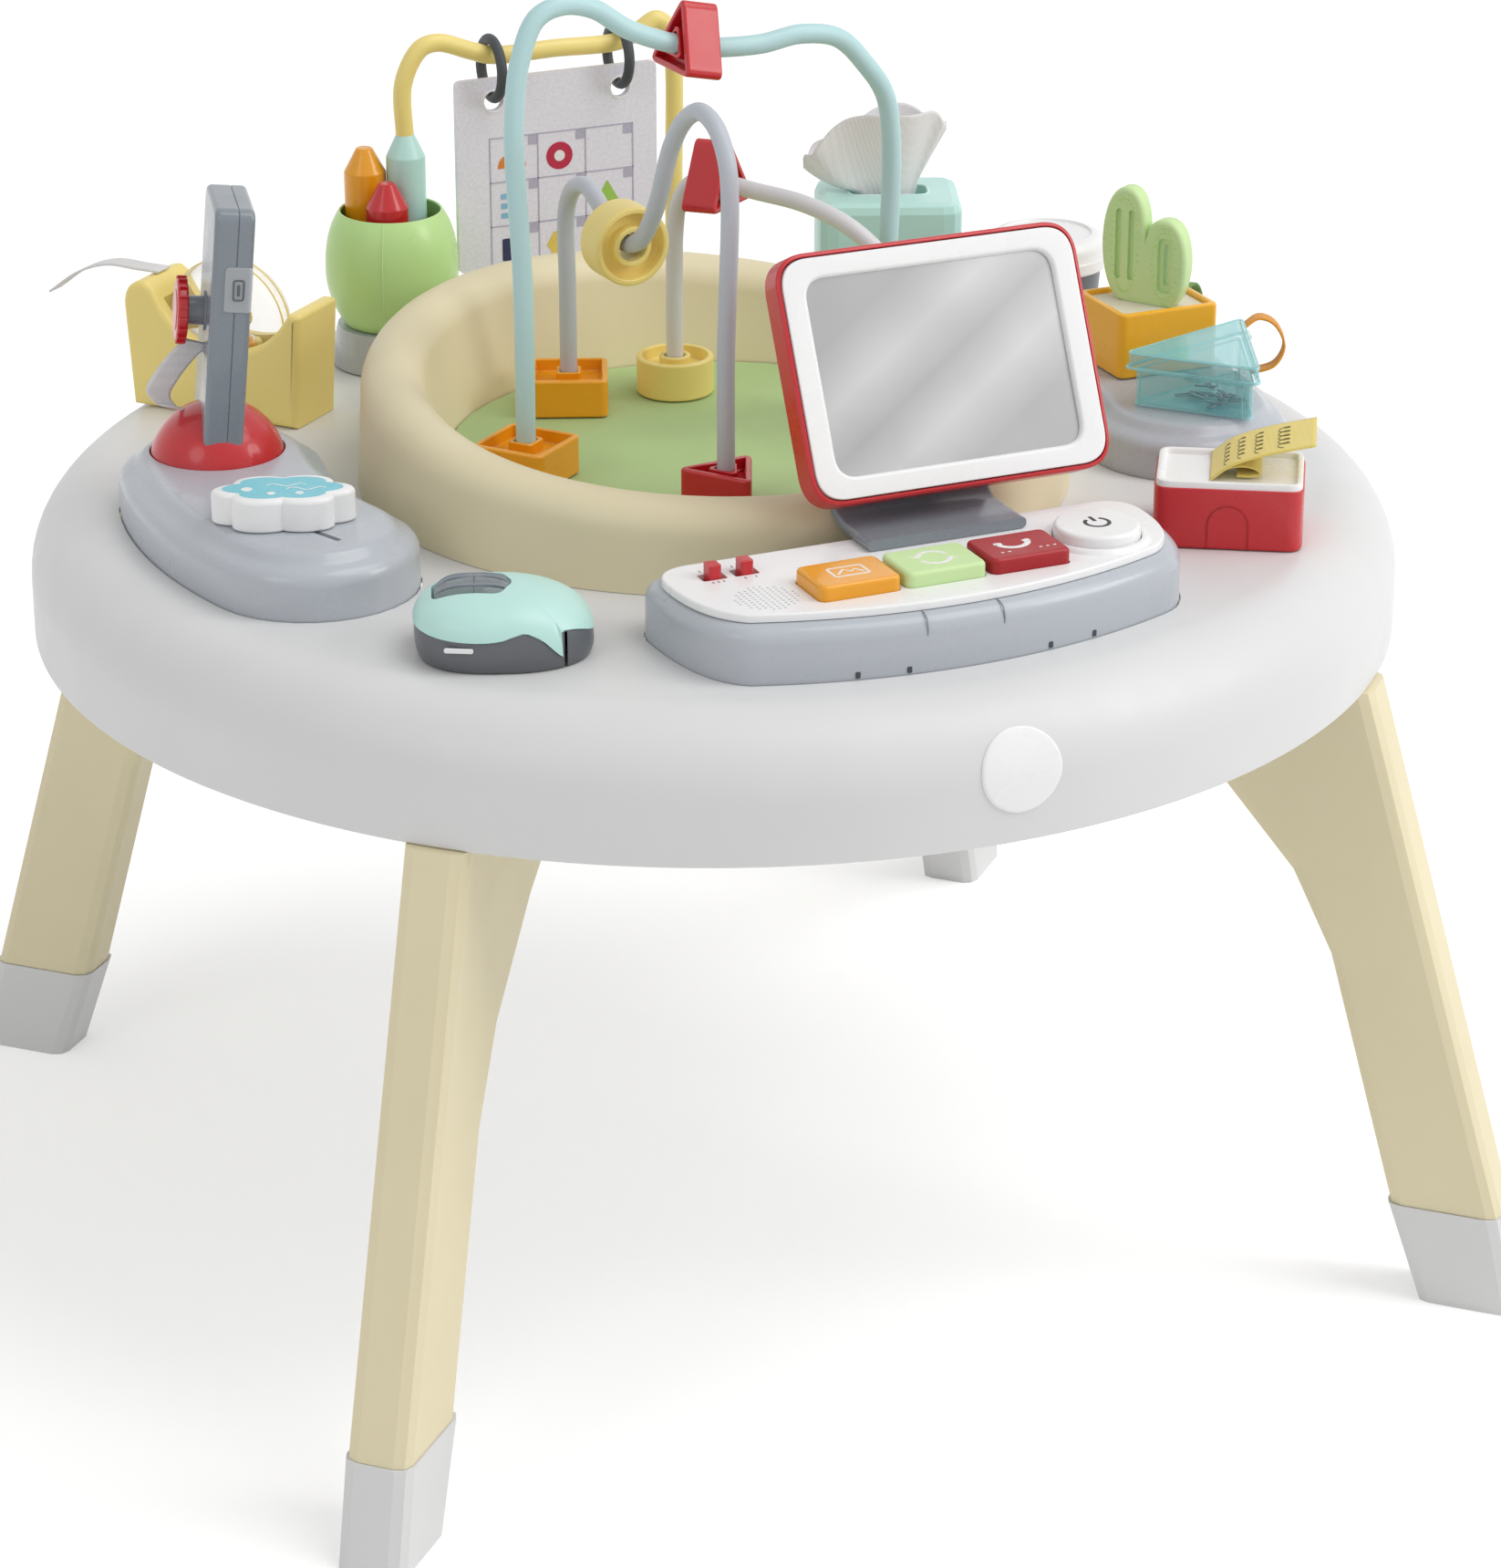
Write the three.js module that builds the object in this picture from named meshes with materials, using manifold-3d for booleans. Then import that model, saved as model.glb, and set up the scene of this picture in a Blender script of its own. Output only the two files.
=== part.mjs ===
// Baby activity center: a round play table on four splayed legs, with a desk of toys round a bead maze.
// Millimetres, +Z up. The origin is on the floor, under the centre of the table. The keyboard faces -Y.
import * as THREE from "three";
import { mergeVertices } from "three/addons/utils/BufferGeometryUtils.js";
import Module from "manifold-3d";

const wasm = await Module();
wasm.setup();

const degrees = Math.PI / 180;
const quarterTurn = Math.PI / 2;
const halfTurn = Math.PI;
const fullTurn = 2 * Math.PI;

// Clearances
const seatGap = 0.3;
const holeGap = 0.8;
const slideGap = 0.5;
const overrun = 6;

// Table top
const tableRadius = 385;
const tableHeight = 438;
const skirtDepth = 74;
const rimRounding = 42;
const tableWall = 3.5;

// Legs and feet: a leg stands in a plane through the table's axis
const legCount = 4;
const firstLegAngle = -135 * degrees;
const legRadiusAtFloor = 462.5;
const legRadiusAtSkirt = 358;
const legDepthAtFloor = 64.5;
const legDepthAtSkirt = 62;
const legWidth = 36;
const legEdge = 8;
const gussetReach = 94;
const gussetDrop = 160;
const gussetBendShare = 0.57;
const footHeight = 58;
const footLip = 1.2;
const footTaper = 3;
const tenonLength = 34;
const tenonDepth = 30;
const tenonWidth = 14;

// Bead maze
const ringFootRadius = 201;
const ringLean = 3;
const ringRimWidth = 37;
const ringLowHeight = 47;
const ringRise = 35;
const ringHighAngle = 112 * degrees;
const ringRiseSharpness = 2;
const ringInnerSlope = 11;
const ringRimOuterRadius = ringFootRadius - ringLean;
const ringRimInnerRadius = ringRimOuterRadius - ringRimWidth;
const floorRadius = ringRimInnerRadius - ringInnerSlope;
const floorLift = 13;
const floorThickness = 3;
const floorLedge = 11;
const wireRadius = 5.5;
const thinWireRadius = 5;

// Where each wire stands, in shares of the floor's radius, its height over the floor, the play of the bead
// that is threaded high on it, and its route in shares of its span and height
const mintWire = {
  fromShares: [-0.7867, -0.0733],
  toShares: [0.7, 0.0333],
  height: 263,
  radius: wireRadius,
  beadPlay: 1.3,
  routeShares: [
    [0, 0], [0, 0.42], [-0.016, 0.76], [0.005, 0.9], [0.05, 0.98], [0.12, 1], [0.2, 0.985], [0.3, 0.93],
    [0.464, 0.88], [0.65, 0.865], [0.77, 0.875], [0.875, 0.856], [0.955, 0.79], [1.01, 0.72], [1.03, 0.62],
    [1.02, 0.3], [1, 0],
  ],
};
const greyWire = {
  fromShares: [-0.3333, 0.6267],
  toShares: [-0.24, -0.66],
  height: 214,
  radius: thinWireRadius,
  beadPlay: 3.4,
  routeShares: [
    [0, 0], [0, 0.36], [-0.005, 0.5], [0.01, 0.57], [0.06, 0.625], [0.14, 0.645], [0.21, 0.62], [0.28, 0.58],
    [0.38, 0.55], [0.48, 0.58], [0.58, 0.69], [0.68, 0.875], [0.77, 0.965], [0.86, 1], [0.95, 0.975],
    [1.01, 0.9], [1.025, 0.8], [1.01, 0.55], [1, 0.4], [1, 0],
  ],
};
const whiteWire = {
  fromShares: [0.1133, 0.6333],
  toShares: [0.7867, -0.3],
  height: 130,
  radius: thinWireRadius,
  beadPlay: 1.6,
  routeShares: [
    [0, 0], [0, 0.5], [0.004, 0.75], [0.02, 0.88], [0.07, 0.975], [0.16, 1], [0.318, 0.985], [0.49, 0.965],
    [0.63, 0.915], [0.746, 0.83], [0.86, 0.69], [0.95, 0.5], [1, 0.26], [1, 0],
  ],
};

// Beads
const beadSize = 45;
const beadCorner = 5;
const beadEdge = 1.5;
const beadHeight = 22;
const beadWall = 3.5;
const beadPocketDepth = 7;
const beadCollarWall = 3;
const beadBoreGap = 1.2;
const triangleReach = 28;
const triangleCorner = 8;
const mintBeadStop = 8;
const greyBeadStop = 8;
const whiteBeadStop = 5;
const mintBlockTurn = 38 * degrees;
const greyBlockTurn = -22 * degrees;
const greyWedgeTurn = 66 * degrees;

// Toy phone, on a base that bends round the maze
const phoneBaseReach = 77;
const baseHalfWidth = 57;
const phoneBaseFrom = 168.5 * degrees;
const phoneBaseTo = 196.5 * degrees;
const baseHeight = 34;
const baseRounding = 13;
const phonePlugDepth = 22;
const ballAngle = 168.25 * degrees;
const ballReach = 78.87;
const ballZ = 24;
const ballRadius = 38;
const ballCut = 26;
const phoneTurn = 167 * degrees;
const phoneLean = 5.4 * degrees;
const handsetThickness = 22;
const handsetWidth = 60;
const handsetLength = 147.5;
const handsetCorner = 8;
const handsetEdge = 3;
const handsetFoot = 30;
const handsetShift = 1;
const dialRadius = 17;
const dialThickness = 6;
const dialHeight = 113;
const dialStandOff = 10;
const dialEdge = 1.5;
const stubRadius = 8;
const stubBoreDepth = 5;
const dialPinRadius = 3;
const strapWidth = 10;
const strapThickness = 2.4;
const strapDrop = 4;
const strapBulge = 30;
const cloudAngle = -166.26 * degrees;
const cloudReach = 85.2;
const cloudTurn = -20 * degrees;
const cloudLength = 76;
const cloudWidth = 46;
const cloudHeight = 14;
const cloudEdge = 2.5;
const cloudLobes = 6;
const cloudLobePoints = 8;
const cloudDipShare = 0.2;
const cloudTravel = 38;
const cloudSlotTurn = -68 * degrees;
const cloudStemLength = 12;
const cloudStemWidth = 2.6;
const cloudStemDepth = 10;

// Tape dispenser
const tapeAngle = 134.07 * degrees;
const tapeReach = 103.8;
const tapeTurn = -49.7 * degrees;
const tapeLength = 119;
const tapeWidth = 46;
const tapeEdge = 4;
const tapeOuterHeight = 76;
const tapeInnerHeight = 69;
const tapeDipHeight = 27;
const tapeEndThickness = 15;
const tapeRamp = 34;
const rollRadius = 38;
const rollWidth = 34;
const rollRounding = 12;
const rollHeight = 52;
const rollGap = 1;
const rollPinRadius = 3;
const rollPinReach = 3.4;
const ribbonWidth = 13;
const ribbonThickness = 1.6;
const ribbonReach = 62;
const ribbonDroop = 22;

// Crayon cup, crayons and calendar
const cupAngle = 110.12 * degrees;
const cupReach = 78.03;
const pedestalRadius = 37;
const pedestalHeight = 25;
const cupFootRadius = 33;
const cupBellyRadius = 40;
const cupBellyHeight = 58;
const cupRimRadius = 34;
const cupHeight = 95;
const cupWall = 3;
const crayonRadius = 11.5;
const crayonTipRadius = 5;
const crayonTipLength = 22;
const orangeCrayonTop = 131;
const redCrayonTop = 115;
const mintCrayonTop = 140;
const orangeCrayonX = -11;
const orangeCrayonY = 12.5;
const redCrayonX = -6.5;
const redCrayonY = -12.5;
const crayonWebThickness = 4;
const mintCrayonX = 12;
const mintCrayonY = 4;
const archFootX = 90;
const archRadius = 5.5;
const archBarHeight = 181;
const archHump = 11;
const pageX = 13;
const pageWidth = 130;
const pageHeight = 119;
const pageThickness = 4;
const pageCorner = 4;
const pageHoleRadius = 6;
const pageHoleInset = 14;
const pageHoleSpacing = 82;
const ringTubeRadius = 3.2;
const ringInnerRadius = 14.5;
const ringGap = 0.8;

// Tissue box, tissue and coffee cup
const tissueBoxAngle = 44.72 * degrees;
const tissueBoxReach = 88.92;
const tissueBoxTurn = -22 * degrees;
const tissueBoxLength = 88;
const tissueBoxWidth = 68;
const tissueBoxHeight = 86;
const tissueBoxCorner = 12;
const tissueBoxEdge = 6;
const tissueSlotLength = 48;
const tissueSlotWidth = 22;
const tissueSlotDepth = 10;
const tissueHeight = 62;
const tissueReach = 44;
const tissueDepth = 20;
const tissueFolds = 7;
const coffeeAngle = 22.68 * degrees;
const coffeeReach = 89.46;
const coffeeFootRadius = 29;
const coffeeRadius = 33;
const coffeeLidRadius = 36.5;
const coffeeLidBottom = 58;
const coffeeHeight = 78;
const coffeeLidEdge = 5;

// Keyboard, its keys and switches
const keyboardX = 3.5;
const keyboardHalfLength = 149.5;
const keyboardGap = 8;
const keyboardDepth = 125;
const keyboardFrontHalfAngle = 22.5 * degrees;
const keyboardCorner = 22;
const keyboardPlugDepth = 12;
const keyboardBaseHeight = 30;
const keyboardRounding = 6;
const keyboardWallInset = 11;
const deckInset = 9;
const deckThickness = 4.5;
const deckEdge = 1.2;
const keyRowX = 1.5;
const keyRowInset = 72;
const keyPitch = 48.5;
const keyLength = 44.5;
const keyWidth = 36;
const keyCorner = 5;
const keyEdge = 2;
const keyTop = 43;
const keyDepth = 15;
const keyTravel = 3;
const powerX = 101.5;
const powerInset = 59;
const powerRadius = 23;
const switchX = -106;
const switchSpacing = 18;
const switchInset = 31;
const switchLength = 7;
const switchWidth = 9;
const switchTop = 42;
const switchFlange = 2.5;
const switchFlangeThickness = 2.5;
const switchTravel = 3;
const moduleInset = 18;

// Monitor and its stand, set in the monitor's own frame: up the screen, and out of its front
const monitorX = 47;
const monitorSetBack = 12;
const monitorZ = 117;
const monitorLean = 25.5 * degrees;
const monitorWidth = 175.5;
const monitorHeight = 133.5;
const monitorThickness = 18;
const monitorCorner = 19;
const monitorEdge = 3;
const bezelInset = 4;
const bezelDepth = 6;
const bezelProud = 0.8;
const screenWidth = 143.5;
const screenHeight = 105;
const screenCorner = 12;
const mirrorLap = 3;
const mirrorThickness = 2.2;
const bezelFrontThickness = 2.8;
const pivotDrop = 15;
const pivotBehind = 10;
const barrelRadius = 6;
const barrelLength = 56;
const pivotPinRadius = 3.5;
const pivotPinReach = 6;
const earThickness = 7;
const earRadius = 8;
const standX = 28;
const standWidth = 92;
const standFootReach = 32;
const standThickness = 6;
const standEdge = 1.5;
const neckKneeSetBack = 12;
const neckRiseSetBack = 21;
const neckRise = 17;

// Mouse
const mouseAngle = -135 * degrees;
const mouseReach = 93.16;
const mouseTurn = -20 * degrees;
const mouseLength = 94;
const mouseWidth = 76;
const mouseHeight = 37;
const mouseRounding = 13;
const mouseCorner = 34;
const rollerShift = -15;
const rollerRadius = 18;
const rollerEndRadius = 14;
const rollerLength = 42;
const rollerHeight = 22;
const rollerGap = 0.8;

// Right-hand base with the planter, the teether and the clip box
const sideBaseReach = 72;
const sideBaseFrom = -16.5 * degrees;
const sideBaseTo = 1.5 * degrees;
const sideBaseHeight = 30;
const sidePlugDepth = 12;
const planterAngle = -0.84 * degrees;
const planterReach = 73.03;
const planterLength = 64;
const planterWidth = 56;
const planterHeight = 39;
const planterCorner = 5;
const planterEdge = 2;
const planterWall = 4;
const planterRecess = 5;
const teetherTurn = -48 * degrees;
const teetherThickness = 9;
const teetherEdge = 2.5;
const teetherSlotDepth = 20;
const teetherFootHalf = 15;
const teetherHeight = 64;
const tallLobeX = -13;
const tallLobeHalfWidth = 14.5;
const shortLobeX = 13;
const shortLobeHalfWidth = 13;
const shortLobeHeight = 46;
const lobeHoleHalfWidth = 4.5;
const lobeBulge = 6;
const clipLeftAngle = -17.83 * degrees;
const clipLeftReach = 37.45;
const clipFrontAngle = -24.71 * degrees;
const clipFrontReach = 102.82;
const clipBackAngle = -8.39 * degrees;
const clipBackReach = 114.37;
const clipCorner = 7;
const clipLidOverhang = 2.5;
const clipBodyHeight = 22;
const clipHeight = 32;
const clipEdge = 1.5;

// Note box and note sheet
const noteAngle = -43.78 * degrees;
const noteReach = 98.17;
const noteTurn = -31 * degrees;
const noteLength = 81;
const noteWidth = 60;
const noteHeight = 38;
const noteCorner = 9;
const noteEdge = 2;
const noteRimWall = 4;
const noteRecess = 4;
const sheetLength = 62;
const sheetWidth = 52;
const sheetThickness = 1.6;
const sheetRise = 20;
const sheetRootX = -16;
const sheetTurn = 18 * degrees;

// Places outside the maze: a direction, and how far out from the foot of the ring
function outside(angle, reach) {
  const radius = ringFootRadius + reach;
  return [radius * Math.cos(angle), radius * Math.sin(angle)];
}

const phoneBaseRadius = ringFootRadius + phoneBaseReach;
const sideBaseRadius = ringFootRadius + sideBaseReach;
const [ballX, ballY] = outside(ballAngle, ballReach);
const [cloudX, cloudY] = outside(cloudAngle, cloudReach);
const [tapeX, tapeY] = outside(tapeAngle, tapeReach);
const [cupX, cupY] = outside(cupAngle, cupReach);
const [tissueBoxX, tissueBoxY] = outside(tissueBoxAngle, tissueBoxReach);
const [coffeeX, coffeeY] = outside(coffeeAngle, coffeeReach);
const [mouseX, mouseY] = outside(mouseAngle, mouseReach);
const [planterX, planterY] = outside(planterAngle, planterReach);
const [noteX, noteY] = outside(noteAngle, noteReach);
const clipLeft = outside(clipLeftAngle, clipLeftReach);
const clipFront = outside(clipFrontAngle, clipFrontReach);
const clipBack = outside(clipBackAngle, clipBackReach);

// The keyboard's back edge, and what is set from it
const keyboardBack = -ringFootRadius - keyboardGap;
const keyboardFrontRadius = ringFootRadius + keyboardDepth;
const keyRowY = keyboardBack - keyRowInset;
const powerY = keyboardBack - powerInset;
const switchY = keyboardBack - switchInset;
const monitorY = keyboardBack + monitorSetBack;
const standFootFront = keyboardBack - standFootReach;
const neckKneeY = keyboardBack + neckKneeSetBack;
const neckRiseY = keyboardBack + neckRiseSetBack;

// How finely round stretches are cut
const arcPoints = 3;
const bigArcPoints = 5;
const smallArcPoints = 2;
const roundPoints = 22;
const tablePoints = 56;
const ringPoints = 40;
const edgeSteps = 2;
const tubeSides = 8;
const wireSteps = 36;

// Materials
function paint(color, roughness, metalness) {
  return new THREE.MeshStandardMaterial({ color, roughness, metalness });
}

const white = paint("#eeedec", 0.45, 0);
const cream = paint("#dccfa6", 0.6, 0);
const mint = paint("#bfe6de", 0.4, 0);
const green = paint("#b7db87", 0.4, 0);
const floorGreen = paint("#bbd69a", 0.7, 0);
const orange = paint("#f0a510", 0.35, 0);
const yellow = paint("#eed67a", 0.4, 0);
const red = paint("#c72430", 0.35, 0);
const lightGrey = paint("#b8bdc4", 0.4, 0);
const midGrey = paint("#8f959b", 0.4, 0);
const darkGrey = paint("#5d6165", 0.45, 0);
const clearTeal = paint("#78ccd1", 0.15, 0);
const clearAmber = paint("#e8c98a", 0.15, 0);
const paper = paint("#dad8e4", 0.6, 0);
const cloth = paint("#e8e5e6", 0.9, 0);
const silver = paint("#c9cacb", 0.08, 0.95);

// Solids: a closed geometry goes to the solver and comes back as one
function signedVolume(positions, corners) {
  const a = new THREE.Vector3();
  const b = new THREE.Vector3();
  const c = new THREE.Vector3();
  let volume = 0;
  for (let i = 0; i < corners.length; i += 3) {
    a.fromArray(positions, 3 * corners[i]);
    b.fromArray(positions, 3 * corners[i + 1]);
    c.fromArray(positions, 3 * corners[i + 2]);
    volume += a.dot(b.cross(c));
  }
  return volume;
}

function solidOf(geometry) {
  const bare = geometry.clone();
  bare.deleteAttribute("normal");
  bare.deleteAttribute("uv");
  const merged = mergeVertices(bare);
  const positions = new Float32Array(merged.attributes.position.array);
  const corners = [];
  const index = merged.index.array;
  for (let i = 0; i < index.length; i += 3) {
    const [a, b, c] = [index[i], index[i + 1], index[i + 2]];
    if (a !== b && b !== c && c !== a) corners.push(a, b, c);
  }
  if (signedVolume(positions, corners) < 0) corners.reverse();
  const mesh = new wasm.Mesh({ numProp: 3, vertProperties: positions, triVerts: new Uint32Array(corners) });
  return new wasm.Manifold(mesh);
}

function geometryOf(solid) {
  const mesh = solid.getMesh();
  const geometry = new THREE.BufferGeometry();
  geometry.setAttribute("position", new THREE.BufferAttribute(new Float32Array(mesh.vertProperties), 3));
  geometry.setIndex(new THREE.BufferAttribute(new Uint32Array(mesh.triVerts), 1));
  geometry.computeVertexNormals();
  return geometry;
}

function join(...geometries) {
  return geometryOf(geometries.map(solidOf).reduce((whole, next) => whole.add(next)));
}

function cut(geometry, ...tools) {
  return geometryOf(tools.map(solidOf).reduce((whole, tool) => whole.subtract(tool), solidOf(geometry)));
}

function meet(geometry, other) {
  return geometryOf(solidOf(geometry).intersect(solidOf(other)));
}

// Outlines
function roundedPolygon(points, radius) {
  const shape = new THREE.Shape();
  points.forEach(([x, y], i) => {
    const corner = new THREE.Vector2(x, y);
    const before = new THREE.Vector2(...points[(i + points.length - 1) % points.length]);
    const after = new THREE.Vector2(...points[(i + 1) % points.length]);
    const enter = before.sub(corner).setLength(radius).add(corner);
    const leave = after.sub(corner).setLength(radius).add(corner);
    if (i === 0) shape.moveTo(enter.x, enter.y);
    else shape.lineTo(enter.x, enter.y);
    shape.quadraticCurveTo(corner.x, corner.y, leave.x, leave.y);
  });
  return shape;
}

function roundedRectangle(length, width, corner) {
  const x = length / 2;
  const y = width / 2;
  return roundedPolygon([[-x, -y], [x, -y], [x, y], [-x, y]], corner);
}

function circle(radius) {
  const shape = new THREE.Shape();
  for (let angle = 0; angle < fullTurn; angle += quarterTurn) {
    shape.absarc(0, 0, radius, angle, angle + quarterTurn, false);
  }
  return shape;
}

function bentSlot(radius, halfWidth, from, to) {
  const shape = new THREE.Shape();
  shape.absarc(0, 0, radius + halfWidth, from, to, false);
  shape.absarc(radius * Math.cos(to), radius * Math.sin(to), halfWidth, to, to + halfTurn, false);
  shape.absarc(0, 0, radius - halfWidth, to, from, true);
  shape.absarc(radius * Math.cos(from), radius * Math.sin(from), halfWidth, from - halfTurn, from, false);
  return shape;
}

// The keyboard's outline: straight back and sides, and a front that follows the table's edge
function keyboardOutline(inset) {
  const left = keyboardX - keyboardHalfLength + inset;
  const right = keyboardX + keyboardHalfLength - inset;
  const back = keyboardBack - inset;
  const front = keyboardFrontRadius - inset;
  const corner = keyboardCorner;
  const angle = keyboardFrontHalfAngle;
  const frontX = front * Math.sin(angle);
  const frontY = -front * Math.cos(angle);
  const shape = new THREE.Shape();
  shape.moveTo(left + corner, back);
  shape.quadraticCurveTo(left, back, left, back - corner);
  shape.quadraticCurveTo(left, frontY + corner / 2, -frontX, frontY);
  shape.absarc(0, 0, front, -quarterTurn - angle, -quarterTurn + angle, false);
  shape.quadraticCurveTo(right, frontY + corner / 2, right, back - corner);
  shape.quadraticCurveTo(right, back, right - corner, back);
  return shape;
}

// Solids from outlines: the outline lies flat and the solid stands on it, its edges rounded
function slab(shape, height, edge = 0, fineness = arcPoints, steps = edgeSteps) {
  const geometry = new THREE.ExtrudeGeometry(shape, {
    depth: height - 2 * edge,
    bevelEnabled: edge > 0,
    bevelThickness: edge,
    bevelSize: edge,
    bevelOffset: -edge,
    bevelSegments: steps,
    curveSegments: fineness,
  });
  return geometry.translate(0, 0, edge);
}

function rod(radius, length, sides = roundPoints) {
  return new THREE.CylinderGeometry(radius, radius, length, sides).rotateX(quarterTurn);
}

function ball(radius, sides = roundPoints) {
  return new THREE.SphereGeometry(radius, sides, sides / 2).rotateX(quarterTurn);
}

function turned(points, sides = roundPoints) {
  return new THREE.LatheGeometry(points, sides).rotateX(quarterTurn);
}

function tube(curve, radius, steps, sides = tubeSides) {
  const section = new THREE.Shape();
  for (let i = 0; i < sides; i += 1) {
    const angle = (fullTurn * i) / sides;
    const point = [radius * Math.cos(angle), radius * Math.sin(angle)];
    if (i === 0) section.moveTo(...point);
    else section.lineTo(...point);
  }
  return new THREE.ExtrudeGeometry(section, { steps, extrudePath: curve, curveSegments: 1 });
}

// A flat strip along a curve, its width across the given direction
function strip(curve, width, thickness, steps, across) {
  const rings = [];
  for (let i = 0; i <= steps; i += 1) {
    const share = i / steps;
    const middle = curve.getPointAt(share);
    const side = across(share).clone().setLength(width / 2);
    const normal = curve.getTangentAt(share).cross(side).setLength(thickness / 2);
    rings.push([
      middle.clone().add(side).add(normal),
      middle.clone().sub(side).add(normal),
      middle.clone().sub(side).sub(normal),
      middle.clone().add(side).sub(normal),
    ]);
  }
  return loft(rings, false);
}

// Skins rings of equally many points; a closed loft joins its last ring to its first, an open one is capped
function loft(rings, closed) {
  const count = rings[0].length;
  const positions = rings.flat().flatMap((point) => point.toArray());
  const corners = [];
  const bands = closed ? rings.length : rings.length - 1;
  for (let i = 0; i < bands; i += 1) {
    const here = i * count;
    const next = ((i + 1) % rings.length) * count;
    for (let j = 0; j < count; j += 1) {
      const k = (j + 1) % count;
      corners.push(here + j, here + k, next + k, here + j, next + k, next + j);
    }
  }
  if (!closed) {
    const last = (rings.length - 1) * count;
    for (let j = 1; j < count - 1; j += 1) {
      corners.push(0, j + 1, j, last, last + j, last + j + 1);
    }
  }
  const geometry = new THREE.BufferGeometry();
  geometry.setAttribute("position", new THREE.Float32BufferAttribute(positions, 3));
  geometry.setIndex(corners);
  return geometry;
}

// The model: the desk group's zero height is the table's top face
const model = new THREE.Group();
const desk = new THREE.Group();
desk.position.z = tableHeight;
model.add(desk);

function place(parent, x, y, z, turn) {
  const group = new THREE.Group();
  group.position.set(x, y, z);
  group.rotation.z = turn;
  parent.add(group);
  return group;
}

function piece(name, geometry, material, parent = desk) {
  const mesh = new THREE.Mesh(geometryOf(solidOf(geometry)), material);
  mesh.name = name;
  parent.add(mesh);
  return mesh;
}

// Table top: one moulded shell, open below, with holes that the toys' bases drop into
function tableSection() {
  const section = new THREE.Path();
  const rimStart = tableRadius - rimRounding;
  section.moveTo(0, 0);
  section.lineTo(rimStart, 0);
  section.absarc(rimStart, -rimRounding, rimRounding, quarterTurn, 0, true);
  section.lineTo(tableRadius, -skirtDepth);
  section.lineTo(tableRadius - tableWall, -skirtDepth);
  section.lineTo(tableRadius - tableWall, -rimRounding);
  section.absarc(rimStart, -rimRounding, rimRounding - tableWall, 0, quarterTurn, false);
  section.lineTo(0, -tableWall);
  return section.getPoints(edgeSteps);
}

function holeFor([outline, plugDepth]) {
  return slab(outline, plugDepth + 2 * overrun, 0, bigArcPoints).translate(0, 0, -plugDepth - overrun);
}

function makeTable() {
  const shell = turned(tableSection(), tablePoints);
  const phoneHole = bentSlot(phoneBaseRadius, baseHalfWidth + holeGap, phoneBaseFrom, phoneBaseTo);
  const sideHole = bentSlot(sideBaseRadius, baseHalfWidth + holeGap, sideBaseFrom, sideBaseTo);
  const holes = [
    [phoneHole, phonePlugDepth],
    [sideHole, sidePlugDepth],
    [keyboardOutline(-holeGap), keyboardPlugDepth],
  ];
  piece("table_top", cut(shell, ...holes.map(holeFor)), white);
}

// Legs: each profile is drawn in the leg's own upright plane, radius across and height up
const skirtBottom = tableHeight - skirtDepth;
const shareOfRise = (height) => height / skirtBottom;
const legMiddle = (height) => legRadiusAtFloor + (legRadiusAtSkirt - legRadiusAtFloor) * shareOfRise(height);
const legDepthAt = (height) => legDepthAtFloor + (legDepthAtSkirt - legDepthAtFloor) * shareOfRise(height);
const legOuter = (height) => legMiddle(height) + legDepthAt(height) / 2;
const legInner = (height) => legMiddle(height) - legDepthAt(height) / 2;

function upright(shape, width, edge) {
  return slab(shape, width, edge).rotateX(quarterTurn).translate(0, width / 2, 0);
}

function legProfile(bottom) {
  const gussetBottom = skirtBottom - gussetDrop;
  const bend = skirtBottom - gussetDrop * gussetBendShare;
  const shape = new THREE.Shape();
  shape.moveTo(legOuter(bottom), bottom);
  shape.lineTo(legOuter(tableHeight), tableHeight);
  shape.lineTo(legInner(skirtBottom) - gussetReach, tableHeight);
  shape.lineTo(legInner(skirtBottom) - gussetReach, skirtBottom);
  shape.quadraticCurveTo(legInner(bend), bend, legInner(gussetBottom), gussetBottom);
  shape.lineTo(legInner(bottom), bottom);
  return shape;
}

function tenonProfile(gap) {
  const low = footHeight - tenonLength - gap;
  const high = footHeight + overrun;
  const half = tenonDepth / 2 + gap;
  const shape = new THREE.Shape();
  shape.moveTo(legMiddle(low) + half, low);
  shape.lineTo(legMiddle(high) + half, high);
  shape.lineTo(legMiddle(high) - half, high);
  shape.lineTo(legMiddle(low) - half, low);
  return shape;
}

function footProfile(low, high) {
  const growth = (height) => footLip - (footTaper + footLip) * (1 - height / footHeight);
  const shape = new THREE.Shape();
  shape.moveTo(legOuter(low) + growth(low), low);
  shape.lineTo(legOuter(high) + growth(high), high);
  shape.lineTo(legInner(high) - growth(high), high);
  shape.lineTo(legInner(low) - growth(low), low);
  return shape;
}

// Everything between two heights, so that the leg and its foot meet in a flat seam
function between(low, high) {
  return slab(circle(2 * tableRadius), high - low).translate(0, 0, low);
}

// All that a leg may not enter: the table's shell and whatever is outside or above it
function roundTheShell() {
  const section = new THREE.Path();
  const rimStart = tableRadius - rimRounding;
  const inside = tableWall + seatGap;
  const far = 2 * tableRadius;
  section.moveTo(0, tableHeight - inside);
  section.lineTo(rimStart, tableHeight - inside);
  section.absarc(rimStart, tableHeight - rimRounding, rimRounding - inside, quarterTurn, 0, true);
  section.lineTo(tableRadius - inside, skirtBottom - seatGap);
  section.lineTo(far, skirtBottom - seatGap);
  section.lineTo(far, tableHeight + overrun);
  section.lineTo(0, tableHeight + overrun);
  return turned(section.getPoints(edgeSteps), tablePoints);
}

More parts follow.
